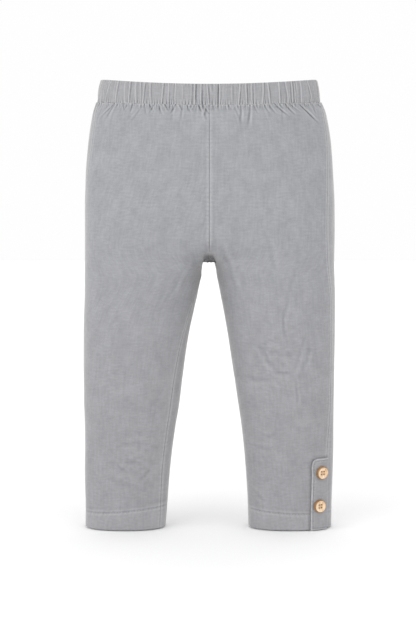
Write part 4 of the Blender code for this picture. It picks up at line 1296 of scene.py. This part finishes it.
def makeButton(node, settings):
    # where the solid button is: its middle, the direction it faces, its radius and its seat
    corners = np.array([v.co[:] for v in bpy.data.objects[node].data.vertices])
    corners = np.unique(corners.round(6), axis=0)
    middle = corners.mean(axis=0)
    axes = np.linalg.eigh(np.cov((corners - middle).T))[1]
    out = Vector(axes[:, 0])
    out = out if out.y < 0 else -out
    across = Vector((0, 0, 1)).cross(out).normalized()
    up = out.cross(across)
    flat = (corners - middle) @ np.array([across[:], up[:], out[:]]).T
    low, high = flat.min(axis=0), flat.max(axis=0)
    radius = (high[0] - low[0]) / 2 / mm
    seat = Vector(middle) + across * (high[0] + low[0]) / 2
    seat += up * (high[1] + low[1]) / 2 + out * low[2]

    # turned: a disc with a raised edge and a sunk face
    rim, crown, sunk = settings["rim"], settings["crown"], settings["sunk"]
    bpy.ops.mesh.primitive_cylinder_add(
        vertices=settings["segments"], radius=(radius - settings["clearance"]) * mm, depth=rim * mm,
        location=(0, 0, rim * mm / 2))
    button = bpy.context.object
    button.name = f"{node}_wood"
    bpy.ops.object.transform_apply(location=True, rotation=True, scale=True)
    bpy.ops.object.mode_set(mode="EDIT")
    selectFaces(button, 1, 0.5 * mm)
    for inwards, raised in ((0.7, crown), (0.4, 0), (0.35, 0), (0.9, -sunk), (1.5, 0)):
        bpy.ops.mesh.inset(thickness=inwards * mm)
        bpy.ops.transform.translate(value=(0, 0, raised * mm))
    selectFaces(button, -1, 0.5 * mm)
    bpy.ops.mesh.inset(thickness=0.9 * mm)
    bpy.ops.object.mode_set(mode="OBJECT")
    soften = button.modifiers.new("soften", "BEVEL")
    soften.width = settings["soften"] * mm
    soften.segments = 3
    soften.limit_method = "ANGLE"
    soften.angle_limit = math.radians(22)
    applyAll(button)

    # drilled: four holes
    drills = []
    half = settings["holeSpacing"] / 2 * mm
    for x, y in ((half, half), (half, -half), (-half, half), (-half, -half)):
        bpy.ops.mesh.primitive_cylinder_add(
            vertices=20, radius=settings["holeRadius"] * mm, depth=12 * mm, location=(x, y, 0))
        drills.append(bpy.context.object)
    holes = button.modifiers.new("holes", "BOOLEAN")
    holes.operation = "DIFFERENCE"
    holes.solver = "EXACT"
    holes.object = joined(drills)
    applyAll(button)
    bpy.data.objects.remove(drills[0])

    # sewing thread: two bars between the holes, low in the sunk face, ends down in the holes
    bars = []
    for y in (half, -half):
        bpy.ops.mesh.primitive_torus_add(
            major_segments=32, minor_segments=8,
            major_radius=half - settings["threadIn"] * mm, minor_radius=settings["thread"] * mm,
            location=(0, y, (rim + crown - sunk - settings["threadBelow"]) * mm),
            rotation=(math.pi / 2, 0, 0))
        bpy.context.object.scale = (1.0, 1.35, 0.55)
        bars.append(bpy.context.object)
    thread = joined(bars)
    thread.name = f"{node}_thread"

    place = Matrix((across, up, out)).transposed().to_4x4()
    place.translation = seat
    for thing in (button, thread):
        thing.data.transform(place)
        thing.matrix_world = Matrix.Identity(4)
        thing.data.update()
    finishPiece(button, maple, [node], 35)
    finishPiece(thread, ecruThread, (), 60)

    # the side, the outer ring of the face and the holes' walls are darker: toasted by the turning and
    # drilling, and painted shade where the button meets the cloth and down in the holes
    button.data.materials.append(toastedAndShadedWood)
    for polygon in button.data.polygons:
        spot = Vector(polygon.center) - seat
        rise = spot.dot(out) / mm
        away = (spot - out * spot.dot(out)).length / mm
        side = away > radius - settings["toastedAndShadedRim"] and rise < rim + crown + 0.1
        if side or away < settings["toastedAndShadedHoles"] and polygon.normal.dot(out) < 0.5 and rise > 0.3:
            polygon.material_index = 1


for node in ("button_upper", "button_lower"):
    makeButton(node, buttonSettings)
print("buttons turned, drilled and sewn on")


# Light, floor and camera.

studioSettings = {
    "sky": 0.992, "floor": "#F4F4F4",
    "under": 0.7,  # mm between the hems and the floor: the cloth touches it only here and there
    # where each soft light comes from, its strength and its width in degrees
    "lights": (
        ("leftKey", (-0.68, -0.70, 0.13), 1.80, 70),
        ("rightKey", (0.68, -0.70, 0.16), 0.67, 70),
        ("rightFill", (1.0, 0.10, 0.12), 0.3, 60),
        ("topBack", (0.0, 0.75, 0.66), 0.35, 60),
    ),
}


def makeStudio(settings):
    scene = bpy.context.scene
    bpy.ops.mesh.primitive_plane_add(size=8.0, location=(0, 1.0, cadLow.z - settings["under"] * mm))
    floor = bpy.context.object
    floor.name = "floor"
    bpy.ops.object.transform_apply(location=True, rotation=True, scale=True)
    paper, tree = emptyMaterial("whiteStudioPaper")
    where = addNode(tree, "ShaderNodeTexCoord").outputs["Object"]
    noises = addNode(tree, "ShaderNodeTexNoise", {"Scale": 900.0, "Detail": 2}, {"Vector": where})
    fibres = noises.outputs["Fac"]
    relief = addNode(tree, "ShaderNodeBump", {"Strength": 0.05, "Distance": 0.1 * mm}, {"Height": fibres})
    shader = addNode(tree, "ShaderNodeBsdfPrincipled", {
        "Base Color": toLinear(settings["floor"]), "Roughness": 0.9, "Specular IOR Level": 0.1,
    }, {"Normal": relief.outputs["Normal"]})
    addNode(tree, "ShaderNodeOutputMaterial", None, {"Surface": shader.outputs["BSDF"]})
    floor.data.materials.append(paper)
    world = bpy.data.worlds.new("studio")
    world.use_nodes = True
    sky = world.node_tree.nodes["Background"].inputs
    sky["Color"].default_value = (1, 1, 1, 1)
    sky["Strength"].default_value = settings["sky"]
    scene.world = world
    for name, place, strength, width in settings["lights"]:
        lamp = bpy.data.lights.new(name, "SUN")
        lamp.energy = strength
        lamp.angle = math.radians(width)
        holder = bpy.data.objects.new(name, lamp)
        holder.location = place
        holder.rotation_euler = Vector(place).to_track_quat("Z", "Y").to_euler()
        scene.collection.objects.link(holder)
    scene.view_settings.view_transform = "Standard"


# distances in metres, the angle down in degrees, the lens in mm
cameraSettings = {"distance": 2.0, "overHem": 0.4, "across": -0.0015, "down": 4.822, "lens": 108.1}


def makeCamera(settings):
    camera = bpy.data.cameras.new("camera")
    camera.sensor_fit = "VERTICAL"
    camera.sensor_height = 36
    camera.lens = settings["lens"]
    holder = bpy.data.objects.new("camera", camera)
    holder.location = (settings["across"], -settings["distance"], cadLow.z + settings["overHem"])
    holder.rotation_euler = (math.radians(90 - settings["down"]), 0, 0)
    bpy.context.scene.collection.objects.link(holder)
    bpy.context.scene.camera = holder


makeStudio(studioSettings)
makeCamera(cameraSettings)
print("studio ready")
